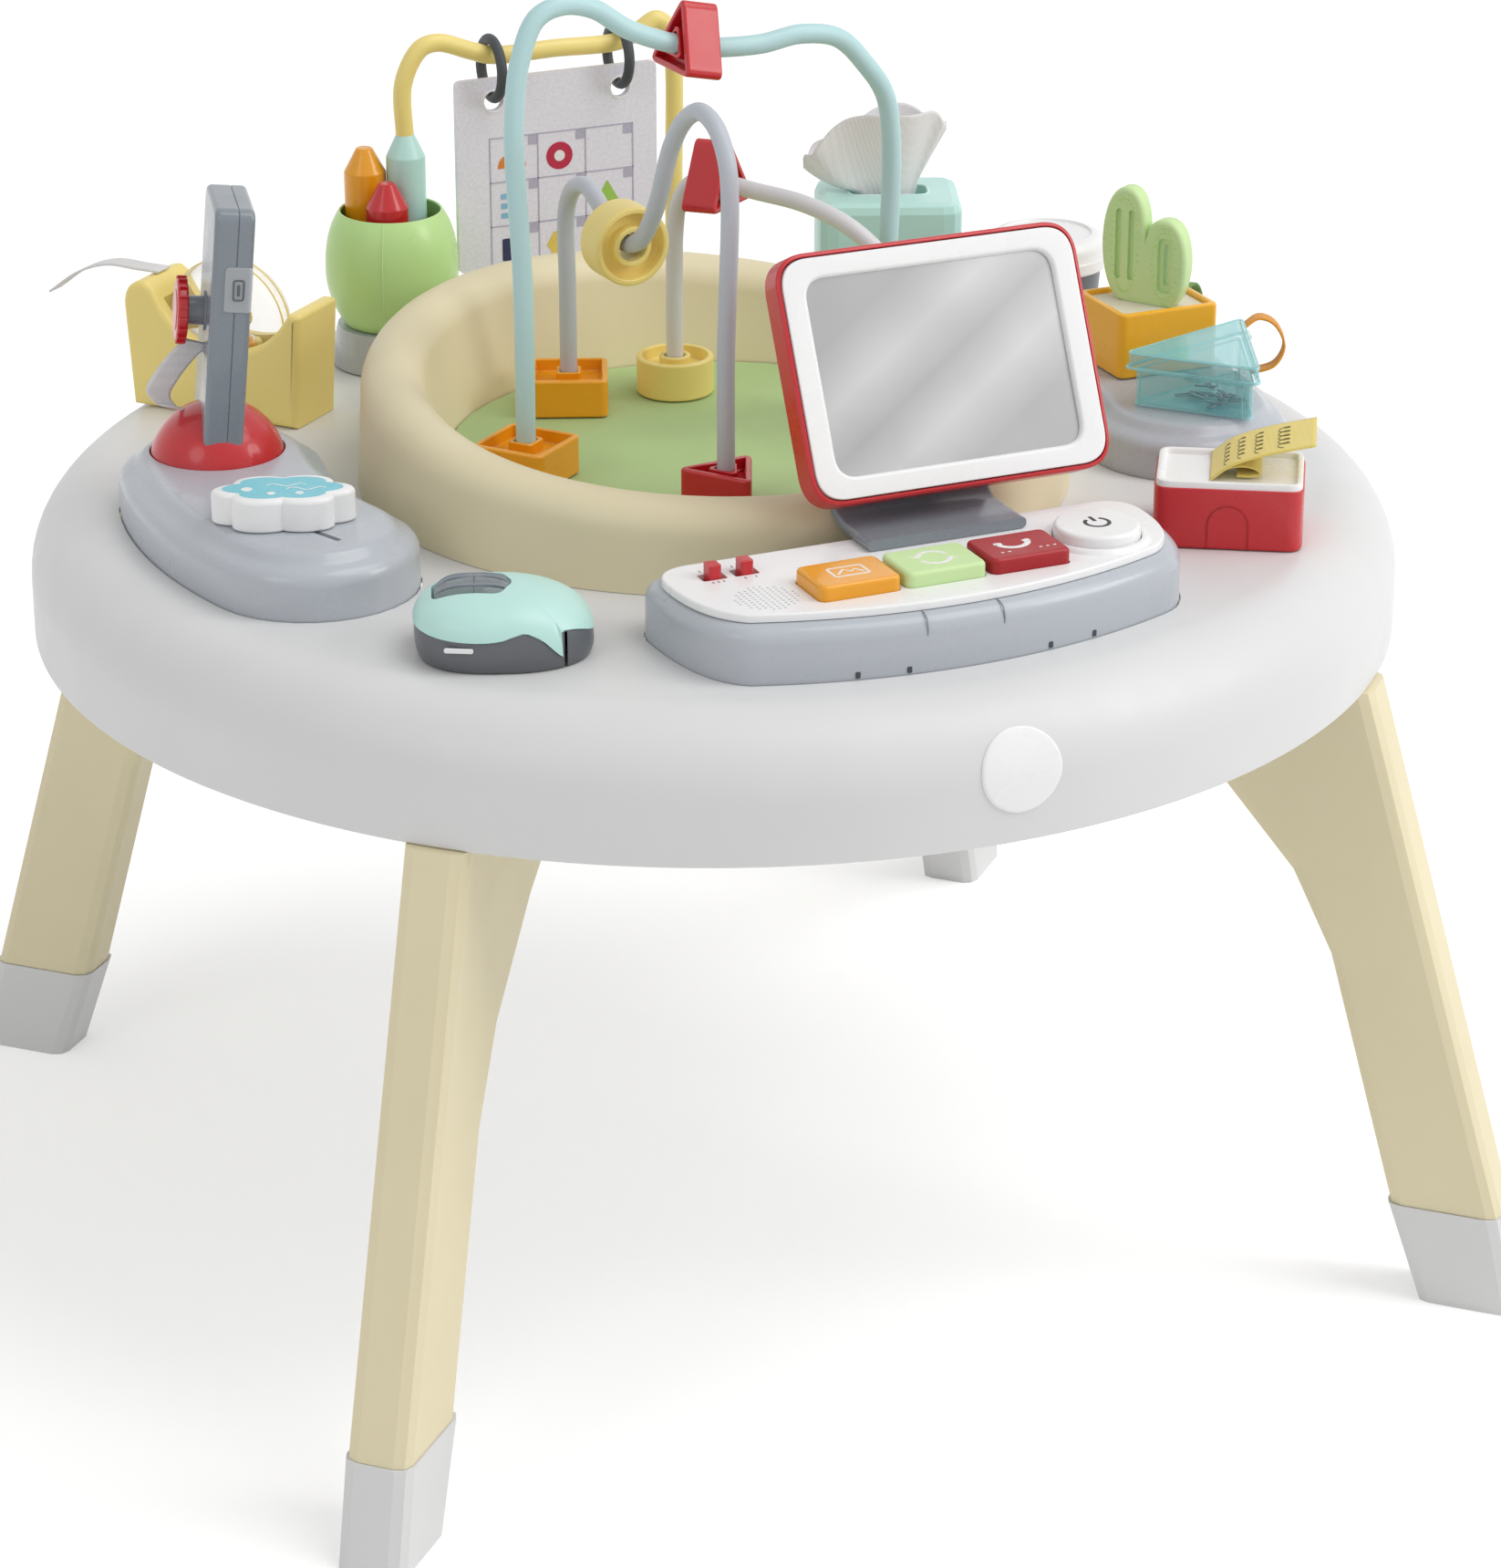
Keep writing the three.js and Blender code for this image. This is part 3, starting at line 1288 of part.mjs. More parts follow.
function makeStand() {
  const thick = standThickness;
  const bottom = deckTop + seatGap;
  const shape = new THREE.Shape();
  shape.moveTo(standFootFront, bottom);
  shape.lineTo(keyboardBack, bottom);
  shape.quadraticCurveTo(neckKneeY, bottom, neckRiseY, bottom + neckRise);
  shape.quadraticCurveTo(pivotY, pivotZ - 2 * neckRise, pivotY + thick / 2, pivotZ);
  shape.lineTo(pivotY - thick / 2, pivotZ);
  const neckTop = bottom + neckRise + thick / 3;
  shape.quadraticCurveTo(pivotY - thick, pivotZ - 2 * neckRise, neckRiseY - thick, neckTop);
  shape.quadraticCurveTo(neckKneeY - thick / 2, bottom + thick, keyboardBack - thick / 2, bottom + thick);
  shape.lineTo(standFootFront, bottom + thick);
  const across = (width) => slab(shape, width, standEdge, smallArcPoints + 1, 1)
    .rotateX(quarterTurn).rotateZ(quarterTurn).translate(standX - width / 2, 0, 0);
  const wide = across(standWidth);
  const tongue = across(barrelLength);
  const lowPart = slab(circle(tableRadius), pivotZ - 3 * barrelRadius);
  const barrel = rod(barrelRadius, barrelLength, roundPoints);
  const pins = rod(pivotPinRadius, barrelLength + 2 * pivotPinReach, 2 * tubeSides);
  const axle = join(barrel, pins).rotateY(quarterTurn).translate(standX, pivotY, pivotZ);
  piece("monitor_stand", join(meet(wide, lowPart), tongue, axle), midGrey);
}

// Mouse: a low shell with a ribbed roller in its top
function makeMouse() {
  const at = place(desk, mouseX, mouseY, seatGap, mouseTurn);
  const body = slab(roundedRectangle(mouseLength, mouseWidth, mouseCorner), mouseHeight + mouseRounding,
    mouseRounding, arcPoints, edgeSteps + 1).translate(0, 0, -mouseRounding);
  const above = slab(circle(mouseLength), mouseHeight + overrun);
  const barrel = (gap) => {
    const half = rollerLength / 2 + gap;
    const points = [
      new THREE.Vector2(0, -half),
      new THREE.Vector2(rollerEndRadius + gap, -half),
      new THREE.Vector2(rollerRadius + gap, -half / 2),
      new THREE.Vector2(rollerRadius + gap, half / 2),
      new THREE.Vector2(rollerEndRadius + gap, half),
      new THREE.Vector2(0, half),
    ];
    return turned(points).rotateY(quarterTurn).translate(rollerShift, 0, rollerHeight);
  };
  piece("mouse_base", cut(meet(body, above), barrel(rollerGap)), mint, at);
  piece("mouse_roller", barrel(0), midGrey, at);
}

// Right-hand base with the planter and its teether, and the clip box
function makePlanter() {
  const outline = bentSlot(sideBaseRadius, baseHalfWidth, sideBaseFrom, sideBaseTo);
  piece("side_base", base(outline, sideBaseHeight, baseRounding, sidePlugDepth), lightGrey);

  const at = place(desk, planterX, planterY, sideBaseHeight + seatGap, 0);
  const box = slab(roundedRectangle(planterLength, planterWidth, planterCorner), planterHeight, planterEdge);
  const soilTop = planterHeight - planterRecess;
  const recess = slab(
    roundedRectangle(planterLength - 2 * planterWall, planterWidth - 2 * planterWall, planterCorner),
    planterRecess + overrun,
  ).translate(0, 0, soilTop);
  const slot = slab(
    roundedRectangle(2 * (teetherFootHalf + slideGap), teetherThickness + 2 * slideGap, teetherEdge),
    teetherSlotDepth + overrun,
  ).rotateZ(teetherTurn).translate(0, 0, soilTop - teetherSlotDepth);
  piece("planter_box", cut(box, recess, slot), orange, at);

  const lobes = new THREE.Shape();
  const foot = teetherFootHalf;
  lobes.moveTo(-foot, 0);
  lobes.lineTo(foot, 0);
  lobes.lineTo(foot, teetherSlotDepth);
  const shortRight = shortLobeX + shortLobeHalfWidth;
  const tallLeft = tallLobeX - tallLobeHalfWidth;
  const shortTop = teetherSlotDepth + shortLobeHeight;
  const tallTop = teetherSlotDepth + teetherHeight;
  lobes.bezierCurveTo(shortRight, teetherSlotDepth, shortRight + lobeBulge, shortTop, shortLobeX, shortTop);
  lobes.quadraticCurveTo(0, shortTop, 0, shortTop - shortLobeHalfWidth);
  lobes.quadraticCurveTo(0, tallTop, tallLobeX, tallTop);
  const tallBulge = tallLeft - lobeBulge;
  lobes.bezierCurveTo(tallBulge, tallTop, tallBulge, teetherSlotDepth, -foot, teetherSlotDepth);
  const lobeHole = (x, top) => {
    const height = (top - teetherSlotDepth) / 2;
    const hole = roundedRectangle(2 * lobeHoleHalfWidth, height, lobeHoleHalfWidth);
    const middle = (top + teetherSlotDepth) / 2;
    return upright(hole, teetherThickness + 2 * overrun, 0).translate(x, 0, middle);
  };
  const plate = upright(lobes, teetherThickness, teetherEdge);
  const teether = cut(plate, lobeHole(tallLobeX, tallTop), lobeHole(shortLobeX, shortTop));
  const plant = place(desk, planterX, planterY, sideBaseHeight + 2 * seatGap + soilTop - teetherSlotDepth,
    teetherTurn);
  piece("teether", teether, green, plant);
}

function makeClipBox() {
  const middle = [0, 1].map((k) => (clipLeft[k] + clipFront[k] + clipBack[k]) / 3);
  const outline = (grow) => roundedPolygon([clipLeft, clipFront, clipBack].map((point) => {
    const out = new THREE.Vector2(point[0] - middle[0], point[1] - middle[1]);
    const reach = out.length() + 2 * grow;
    return out.setLength(reach).toArray();
  }), clipCorner);
  const body = slab(outline(0), clipBodyHeight + overrun, clipEdge);
  const lid = slab(outline(clipLidOverhang), clipHeight - clipBodyHeight, clipEdge)
    .translate(0, 0, clipBodyHeight);
  const at = place(desk, ...middle, sideBaseHeight + seatGap, 0);
  const lowPart = slab(circle(tableRadius), clipBodyHeight + clipEdge);
  piece("clip_box", join(meet(body, lowPart), lid), clearTeal, at);
}

// Note box with a sunk top, and the sheet that curls up from it
function makeNoteBox() {
  const at = place(desk, noteX, noteY, seatGap, noteTurn);
  const box = slab(roundedRectangle(noteLength, noteWidth, noteCorner), noteHeight, noteEdge);
  const recess = slab(
    roundedRectangle(noteLength - 2 * noteRimWall, noteWidth - 2 * noteRimWall, noteCorner - noteRimWall / 2),
    noteRecess + overrun,
  ).translate(0, 0, noteHeight - noteRecess);
  piece("note_box", cut(box, recess), red, at);

  const rootZ = noteHeight - noteRecess + seatGap + sheetThickness / 2;
  const curve = new THREE.CatmullRomCurve3([
    new THREE.Vector3(0, 0, 0),
    new THREE.Vector3(sheetLength / 5, 0, sheetRise / 2),
    new THREE.Vector3(sheetLength / 2, 0, (3 * sheetRise) / 4),
    new THREE.Vector3(sheetLength, 0, sheetRise),
  ]);
  const across = () => new THREE.Vector3(0, 1, 0);
  const sheet = strip(curve, sheetWidth, sheetThickness, wireSteps / 5, across);
  sheet.rotateZ(sheetTurn).translate(sheetRootX, 0, rootZ + seatGap);
  piece("note_sheet", sheet, yellow, at);
}

makeTable();
makeLegs();
makeMaze();
makeWires();
makeBeads();
makePhone();
makeTape();
makeCup();
makeCalendar();
makeTissueBox();
makeCoffee();
makeKeyboard();
makeMonitor();
makeStand();
makeMouse();
makePlanter();
makeClipBox();
makeNoteBox();

export default model;
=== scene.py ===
import math
import random

import bmesh
import bpy
from mathutils import Matrix, Vector


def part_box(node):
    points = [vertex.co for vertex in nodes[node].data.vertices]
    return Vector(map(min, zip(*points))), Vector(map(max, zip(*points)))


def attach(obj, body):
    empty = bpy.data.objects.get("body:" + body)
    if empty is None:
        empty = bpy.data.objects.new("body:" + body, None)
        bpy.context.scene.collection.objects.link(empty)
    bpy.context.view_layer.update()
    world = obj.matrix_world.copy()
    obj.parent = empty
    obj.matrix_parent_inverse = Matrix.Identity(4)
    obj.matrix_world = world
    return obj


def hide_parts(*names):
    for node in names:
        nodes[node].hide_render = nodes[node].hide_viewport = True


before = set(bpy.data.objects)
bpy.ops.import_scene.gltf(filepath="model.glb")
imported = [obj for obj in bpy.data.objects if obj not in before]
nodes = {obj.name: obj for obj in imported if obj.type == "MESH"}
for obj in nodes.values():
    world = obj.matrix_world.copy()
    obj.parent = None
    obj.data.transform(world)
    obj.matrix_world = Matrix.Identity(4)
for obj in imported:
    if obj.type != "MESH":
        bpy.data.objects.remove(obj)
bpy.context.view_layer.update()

# Lengths are written in millimetres; heights of the toys count from the table's top face
MM = 0.001
DESK = 438.0
TABLE_RADIUS = 385
RIM = 42
SKIRT = 74
SEAT = 0.3
CREASE = 32
QUARTER = math.pi / 2
TURN = 2 * math.pi


def new_object(name, data):
    obj = bpy.data.objects.new(name, data)
    bpy.context.collection.objects.link(obj)
    return obj


# Camera and light
def look_at(obj, forward, right):
    up = right.cross(forward)
    obj.matrix_world = Matrix.Translation(obj.location) @ Matrix((right, up, -forward)).transposed().to_4x4()


def make_camera():
    data = bpy.data.cameras.new("camera")
    data.sensor_width = 36
    data.lens = 108.35
    data.shift_y = -0.0411
    data.clip_end = 60
    camera = new_object("camera", data)
    camera.location = (-1.0106, -2.3123, 1.3272)
    forward = Vector((0.3771, 0.8439, -0.3816)).normalized()
    right = Vector((0.913, -0.408, 0)).normalized()
    look_at(camera, forward, right)
    bpy.context.scene.camera = camera


def lamp(name, kind, power, place, aim, size):
    data = bpy.data.lights.new(name, kind)
    data.energy = power
    if kind == "SUN":
        data.angle = math.radians(size)
    else:
        data.shape = "DISK"
        data.size = size
    obj = new_object(name, data)
    obj.location = place
    obj.rotation_euler = (Vector(aim) - Vector(place)).to_track_quat("-Z", "Y").to_euler()


def seen_strength(tree, unseen, seen, socket):
    """One strength for the rays that the camera, glass and gloss look along, another for the light."""
    rays = tree.nodes.new("ShaderNodeLightPath")
    looks = rays.outputs["Is Camera Ray"]
    for kind in ("Is Transmission Ray", "Is Glossy Ray"):
        either = tree.nodes.new("ShaderNodeMath")
        either.operation = "MAXIMUM"
        tree.links.new(looks, either.inputs[0])
        tree.links.new(rays.outputs[kind], either.inputs[1])
        looks = either.outputs[0]
    strength = tree.nodes.new("ShaderNodeMapRange")
    strength.inputs["To Min"].default_value = unseen
    strength.inputs["To Max"].default_value = seen
    tree.links.new(looks, strength.inputs["Value"])
    tree.links.new(strength.outputs["Result"], socket)


def make_light():
    lamp("high_sun", "SUN", 1.0, (1.5, -0.9, 3.2), (0, 0, 0), 40)
    lamp("side_softbox", "AREA", 13, (1.7, -1.3, 1.6), (0, 0, 0.45), 1.0)
    lamp("left_softbox", "AREA", 4, (-1.9, -0.9, 1.7), (0, 0, 0.5), 1.0)
    world = bpy.data.worlds.new("studio")
    bpy.context.scene.world = world
    world.use_nodes = True
    back = world.node_tree.nodes["Background"]
    back.inputs["Color"].default_value = (1, 1, 1, 1)
    seen_strength(world.node_tree, 0.52, 1.0, back.inputs["Strength"])


def make_floor():
    mesh = bpy.data.meshes.new("floor")
    reach = 25
    corners = [(-reach, -reach, 0), (reach, -reach, 0), (reach, reach, 0), (-reach, reach, 0)]
    mesh.from_pydata(corners, [], [(0, 1, 2, 3)])
    floor = new_object("floor", mesh)
    material = bpy.data.materials.new("floor_paper")
    material.use_nodes = True
    shader = material.node_tree.nodes["Principled BSDF"]
    shader.inputs["Base Color"].default_value = (0.97, 0.97, 0.97, 1)
    shader.inputs["Roughness"].default_value = 1
    shader.inputs["Specular IOR Level"].default_value = 0
    shader.inputs["Emission Color"].default_value = (1, 1, 1, 1)
    seen_strength(material.node_tree, 0.0, 0.3, shader.inputs["Emission Strength"])
    mesh.materials.append(material)


# Materials
def linear(code):
    parts = [int(code[i:i + 2], 16) / 255 for i in (1, 3, 5)]
    return tuple(p / 12.92 if p <= 0.04045 else ((p + 0.055) / 1.055) ** 2.4 for p in parts) + (1,)


def shaded(code, share):
    return tuple(part * share for part in linear(code)[:3]) + (1,)


class Shader:
    """A Principled material whose patterns follow the object's own coordinates, in metres."""

    def __init__(self, name):
        self.material = bpy.data.materials.new(name)
        self.material.use_nodes = True
        self.tree = self.material.node_tree
        self.surface = self.tree.nodes["Principled BSDF"]
        self.place = self.tree.nodes.new("ShaderNodeTexCoord").outputs["Object"]

    def set(self, **values):
        for name, value in values.items():
            self.surface.inputs[name.replace("_", " ")].default_value = value
        return self

    def noise(self, scale, detail=3.0):
        node = self.tree.nodes.new("ShaderNodeTexNoise")
        node.inputs["Scale"].default_value = scale
        node.inputs["Detail"].default_value = detail
        self.tree.links.new(self.place, node.inputs["Vector"])
        return node.outputs["Fac"]

    def bands(self, scale, direction="X", distortion=0.0):
        node = self.tree.nodes.new("ShaderNodeTexWave")
        node.bands_direction = direction
        node.inputs["Scale"].default_value = scale
        node.inputs["Distortion"].default_value = distortion
        self.tree.links.new(self.place, node.inputs["Vector"])
        return node.outputs["Fac"]

    def ramp(self, value, *stops):
        node = self.tree.nodes.new("ShaderNodeValToRGB")
        ramp = node.color_ramp
        while len(ramp.elements) < len(stops):
            ramp.elements.new(0.5)
        for element, (at, colour) in zip(ramp.elements, stops):
            element.position = at
            element.color = colour
        self.tree.links.new(value, node.inputs["Fac"])
        return node.outputs["Color"]

    def range(self, value, low, high, start=0.3, end=0.7):
        node = self.tree.nodes.new("ShaderNodeMapRange")
        node.inputs["From Min"].default_value = start
        node.inputs["From Max"].default_value = end
        node.inputs["To Min"].default_value = low
        node.inputs["To Max"].default_value = high
        self.tree.links.new(value, node.inputs["Value"])
        return node.outputs["Result"]

    def math(self, operation, a, b):
        node = self.tree.nodes.new("ShaderNodeMath")
        node.operation = operation
        for value, socket in zip((a, b), node.inputs):
            if isinstance(value, float):
                socket.default_value = value
            else:
                self.tree.links.new(value, socket)
        return node.outputs[0]

    def into(self, value, socket):
        self.tree.links.new(value, self.surface.inputs[socket])
        return self

    def bump(self, height, strength, distance):
        node = self.tree.nodes.new("ShaderNodeBump")
        node.inputs["Strength"].default_value = strength
        node.inputs["Distance"].default_value = distance
        self.tree.links.new(height, node.inputs["Height"])
        return self.into(node.outputs["Normal"], "Normal")


def plastic(name, code, roughness=0.34, grain=0.12, tone=0.05, coat=0.0):
    """Moulded plastic: a faint flow in its colour, an uneven polish and a fine moulded grain."""
    shader = Shader(name).set(IOR=1.46)
    if coat:
        shader.set(Coat_Weight=coat, Coat_Roughness=0.06)
    flow = shader.noise(11, 2)
    shader.into(shader.ramp(flow, (0.35, shaded(code, 1 - tone)), (0.62, linear(code))), "Base Color")
    shader.into(shader.range(shader.noise(46), roughness - 0.05, roughness + 0.07), "Roughness")
    ripple = shader.math("MULTIPLY", shader.noise(75, 1), 0.4)
    height = shader.math("ADD", ripple, shader.math("MULTIPLY", shader.noise(1500, 2), 0.3))
    return shader.bump(height, grain, 0.0006).material


def clear(name, code, opacity, edge, roughness=0.08):
    """Clear coloured plastic: thin in the middle, denser where it is seen edge on."""
    shader = Shader(name).set(Base_Color=linear(code), IOR=1.45, Coat_Weight=0.6, Coat_Roughness=0.04)
    facing = shader.tree.nodes.new("ShaderNodeLayerWeight")
    facing.inputs["Blend"].default_value = 0.45
    shader.into(shader.range(facing.outputs["Facing"], opacity, edge, 0.1, 0.9), "Alpha")
    shader.into(shader.range(shader.noise(60), roughness, roughness + 0.06), "Roughness")
    shader.bump(shader.noise(90, 2), 0.08, 0.0008)
    return shader.material


def woven(name, code, pitch=0.0011, depth=0.5, tone=0.12):
    """Plain-weave cloth: two crossed sets of threads, a little fuzz, unevenly dyed colour and painted shade in the
    gaps between the threads.
    """
    shader = Shader(name).set(IOR=1.4, Sheen_Weight=0.35, Sheen_Roughness=0.5)
    scale = 1 / pitch / 3.1416
    threads = shader.math("MAXIMUM", shader.bands(scale, "X", 0.6), shader.bands(scale, "Z", 0.6))
    threads = shader.math("ADD", threads, shader.bands(scale, "Y", 0.6))
    # Painted shade: the thread height darkens the colour between the threads; the noise is uneven dyeing.
    dye_and_thread_shade = shader.math("ADD", shader.math("MULTIPLY", threads, 0.2), shader.noise(40))
    shader.into(shader.ramp(dye_and_thread_shade, (0.4, shaded(code, 1 - tone)), (0.85, linear(code))), "Base Color")
    shader.into(shader.range(shader.noise(300), 0.75, 0.95), "Roughness")
    return shader.bump(threads, depth, 0.0004).material


def printed(name, code, roughness=0.5):
    """Ink on paper or plastic, with the paper's tooth in it."""
    shader = Shader(name)
    inked = shader.ramp(shader.noise(500, 4), (0.3, shaded(code, 0.9)), (0.6, linear(code)))
    shader.into(inked, "Base Color")
    shader.into(shader.range(shader.noise(120), roughness - 0.06, roughness + 0.08), "Roughness")
    return shader.bump(shader.noise(900, 3), 0.15, 0.0002).material


def silvered(name, across, start, end):
    """Mirror film with two soft bands of painted reflection in its colour, which follow one another along a
    direction.
    """
    shader = Shader(name).set(Metallic=0.85)
    along = shader.tree.nodes.new("ShaderNodeVectorMath")
    along.operation = "DOT_PRODUCT"
    along.inputs[1].default_value = across
    shader.tree.links.new(shader.place, along.inputs[0])
    share = shader.range(along.outputs["Value"], 0, 1, start, end)
    # The lighter stops are painted reflection: soft diagonal streaks of reflected light set into the base colour.
    dull, painted_reflection = linear("#a2a2a3"), linear("#b9b9ba")
    stops = [(0.2, dull), (0.36, painted_reflection), (0.5, dull), (0.64, painted_reflection), (0.8, dull)]
    shader.into(shader.ramp(share, *stops), "Base Color")
    shader.into(shader.range(shader.noise(24), 0.3, 0.38), "Roughness")
    return shader.bump(shader.noise(30, 2), 0.05, 0.001).material


white = plastic("white_shell", "#dfdfdf", 0.42, 0.1, 0.02)
bright = plastic("white_gloss", "#f4f4f4", 0.28, 0.08, 0.02)
cream = plastic("cream", "#e9deba", 0.46, 0.12, 0.03)
green = plastic("green", "#c4e99b", 0.32)
leaf = plastic("leaf_green", "#d0ecac", 0.42, 0.12)
floor_green = plastic("floor_green", "#b1cb8e", 0.62, 0.3, 0.1)
mint = plastic("mint", "#c1e9e1", 0.34)
pale_mint = plastic("pale_mint", "#d5f1ec", 0.34)
wire_mint = plastic("wire_mint", "#bfe2e3", 0.4)
orange = plastic("orange", "#f2a512", 0.28, coat=0.3)
amber = plastic("amber", "#ffba20", 0.3, coat=0.3)
yellow = plastic("yellow", "#f7e189", 0.34)
red = plastic("red", "#c91f27", 0.3, 0.05, 0.03, coat=0.3)
deep_red = plastic("deep_red", "#a9161f", 0.36)
pale_grey = plastic("light_grey", "#b9bec5", 0.28, 0.04, 0.02, 0.2)
wire_grey = plastic("wire_grey", "#c3c8d0", 0.42, 0.25)
white_grey = plastic("white_wire", "#e3e2e4", 0.42, 0.25)
slate = plastic("mid_grey", "#858d95", 0.26, 0.04, 0.02, 0.2)
dark = plastic("dark_grey", "#65686c", 0.32)
charcoal = plastic("charcoal", "#45494d", 0.5)
soil = plastic("soil", "#e6decb", 0.6, 0.3, 0.08)
teal = clear("clear_teal", "#8fe0e4", 0.16, 0.55)
teal_edge = clear("clear_teal_edge", "#a9eaed", 0.4, 0.85)
glassy = clear("clear_roller", "#aab0b4", 0.35, 0.8)
clearish = clear("clear_drum", "#f4efd2", 0.12, 0.55)
plate_clear = clear("clear_plate", "#e3e7ea", 0.4, 0.8)
paper = printed("page_paper", "#f0eef9")
ribbon_cloth = woven("ribbon_cloth", "#f0eeed")
tissue_cloth = woven("tissue_cloth", "#f2f0f1", 0.0014, 0.3, 0.05)
note_cloth = woven("note_cloth", "#f1dc78", 0.0009, 0.3, 0.06)
green_web = woven("green_webbing", "#73a058")
orange_web = woven("orange_webbing", "#f0a030")
# The mirror film carries painted reflection: two lighter diagonal bands in its colour.
mirror = silvered("mirror_film", (0.55, -0.359, -0.754), -0.405, -0.239)
inks = {name: printed(f"ink_{name}", code) for name, code in {
    "crimson": "#c4284a", "orange": "#e88a33", "green": "#a4cf5c", "blue": "#8fc4e2", "navy": "#34375f",
    "lilac": "#bdb9cc", "cyan": "#86cfdd", "yellow": "#efcf63", "white": "#f4f4f2", "dark": "#3e3f43",
    "speaker": "#c4c8cc", "scribble": "#6d6a45"}.items()}


# Outlines and surfaces
def rounded(corners, radius, steps=6):
    """A polygon with rounded corners."""
    points = []
    for i, corner in enumerate(corners):
        corner = Vector(corner)
        enter = corner + (Vector(corners[i - 1]) - corner).normalized() * radius
        leave = corner + (Vector(corners[(i + 1) % len(corners)]) - corner).normalized() * radius
        for k in range(steps + 1):
            t = k / steps
            points.append(enter * (1 - t) ** 2 + corner * 2 * t * (1 - t) + leave * t * t)
    return points


def rectangle(length, width, corner, steps=6):
    x, y = length / 2, width / 2
    return rounded([(-x, -y), (x, -y), (x, y), (-x, y)], corner, steps)


def turns(count):
    """Angles all the way round."""
    return [TURN * i / count for i in range(count)]


def circle(radius, count=64):
    return [Vector((radius * math.cos(a), radius * math.sin(a))) for a in turns(count)]


def arc(radius, start, end, count, centre=(0, 0)):
    """Points on an arc, both ends included, angles in degrees."""
    found = []
    for i in range(count + 1):
        angle = math.radians(start + (end - start) * i / count)
        found.append(Vector((centre[0] + radius * math.cos(angle), centre[1] + radius * math.sin(angle))))
    return found


def bezier(points, steps=12):
    """A quadratic or cubic curve, without its first point."""
    found = []
    for k in range(1, steps + 1):
        row = [Vector(p) for p in points]
        while len(row) > 1:
            row = [a.lerp(b, k / steps) for a, b in zip(row, row[1:])]
        found.append(row[0])
    return found


def inset(points, amount):
    """The outline moved inwards."""
    moved = []
    for i, point in enumerate(points):
        before = (point - points[i - 1]).normalized()
        after = (points[(i + 1) % len(points)] - point).normalized()
        inward = Vector((-before.y - after.y, before.x + after.x)).normalized()
        moved.append(point + inward * amount / max(0.4, inward.dot(Vector((-after.y, after.x)))))
    return moved


def spline(points, steps):
    """A smooth curve through points: a centripetal Catmull-Rom, evenly stepped from point to point."""
    points = [Vector(p) for p in points]
    ends = [2 * points[0] - points[1]] + points + [2 * points[-1] - points[-2]]
    found = []
    for i in range(steps + 1):
        along = (len(points) - 1) * i / steps
        k = min(int(along), len(points) - 2)
        t = along - k
        p0, p1, p2, p3 = ends[k:k + 4]
        d0, d1, d2 = (max((b - a).length, 1e-6) ** 0.5 for a, b in ((p0, p1), (p1, p2), (p2, p3)))
        m1 = ((p1 - p0) / d0 - (p2 - p0) / (d0 + d1) + (p2 - p1) / d1) * d1
        m2 = ((p2 - p1) / d1 - (p3 - p1) / (d1 + d2) + (p3 - p2) / d2) * d1
        square = (3 * (p2 - p1) - 2 * m1 - m2) * t ** 2
        cube = (2 * (p1 - p2) + m1 + m2) * t ** 3
        found.append(p1 + m1 * t + square + cube)
    return found


def loft(rings, closed=False, caps=True):
    """Skins rings of equally many points."""
    count = len(rings[0])
    points = [tuple(p) for ring in rings for p in ring]
    faces = []
    for i in range(len(rings) if closed else len(rings) - 1):
        here, there = i * count, (i + 1) % len(rings) * count
        for j in range(count):
            k = (j + 1) % count
            faces.append((here + j, here + k, there + k, there + j))
    if caps and not closed:
        faces.append(tuple(reversed(range(count))))
        faces.append(tuple(range(len(points) - count, len(points))))
    return points, faces


def level(outline, z):
    return [Vector((p.x, p.y, z)) for p in outline]


def slab(outline, bottom, top, edge=0.0, low_edge=None, steps=4):
    """A plate from an outline, its upper and lower edges rounded."""
    low = edge if low_edge is None else low_edge
    rings = []
    for k in range(steps + 1 if low else 1):
        a = QUARTER * k / steps if low else QUARTER
        height = bottom + low * (1 - math.cos(a)) if low else bottom
        rings.append(level(inset(outline, low * (1 - math.sin(a))), height))
    for k in range(steps + 1 if edge else 1):
        a = QUARTER * k / steps
        drop = edge * (1 - math.sin(a))
        rings.append(level(inset(outline, edge * (1 - math.cos(a))), top - drop))
    return loft(rings)


def stepped(outline, steps):
    """A solid whose outline draws in as it rises, by steps of (inset, height)."""
    return loft([level(inset(outline, amount), z) for amount, z in steps])


def turned(profile, sides=96):
    """Turns a profile of (radius, height) round Z."""
    points, rings, faces = [], [], []
    for radius, z in profile:
        ring = range(len(points), len(points) + (1 if radius < 1e-6 else sides))
        rings.append(list(ring))
        for i in range(len(ring)):
            points.append((radius * math.cos(TURN * i / sides), radius * math.sin(TURN * i / sides), z))
    for low, high in zip(rings, rings[1:]):
        if len(low) == 1 and len(high) == 1:
            continue
        for j in range(sides):
            k = (j + 1) % sides
            face = [low[j % len(low)], low[k % len(low)], high[k % len(high)], high[j % len(high)]]
            faces.append(tuple(dict.fromkeys(face)))
    return points, faces


def tube(path, radius, sides=16, closed=False):
    """A round rod along a path."""
    path = [Vector(p) for p in path]
    count = len(path)
    side = None
    rings = []
    for i, point in enumerate(path):
        ahead = path[(i + 1) % count] if closed else path[min(i + 1, count - 1)]
        behind = path[i - 1] if closed else path[max(i - 1, 0)]
        way = (ahead - behind).normalized()
        side = way.orthogonal() if side is None else side
        side = (side - way * side.dot(way)).normalized()
        up = way.cross(side)
        rings.append([point + side * radius * math.cos(a) + up * radius * math.sin(a) for a in turns(sides)])
    return loft(rings, closed)


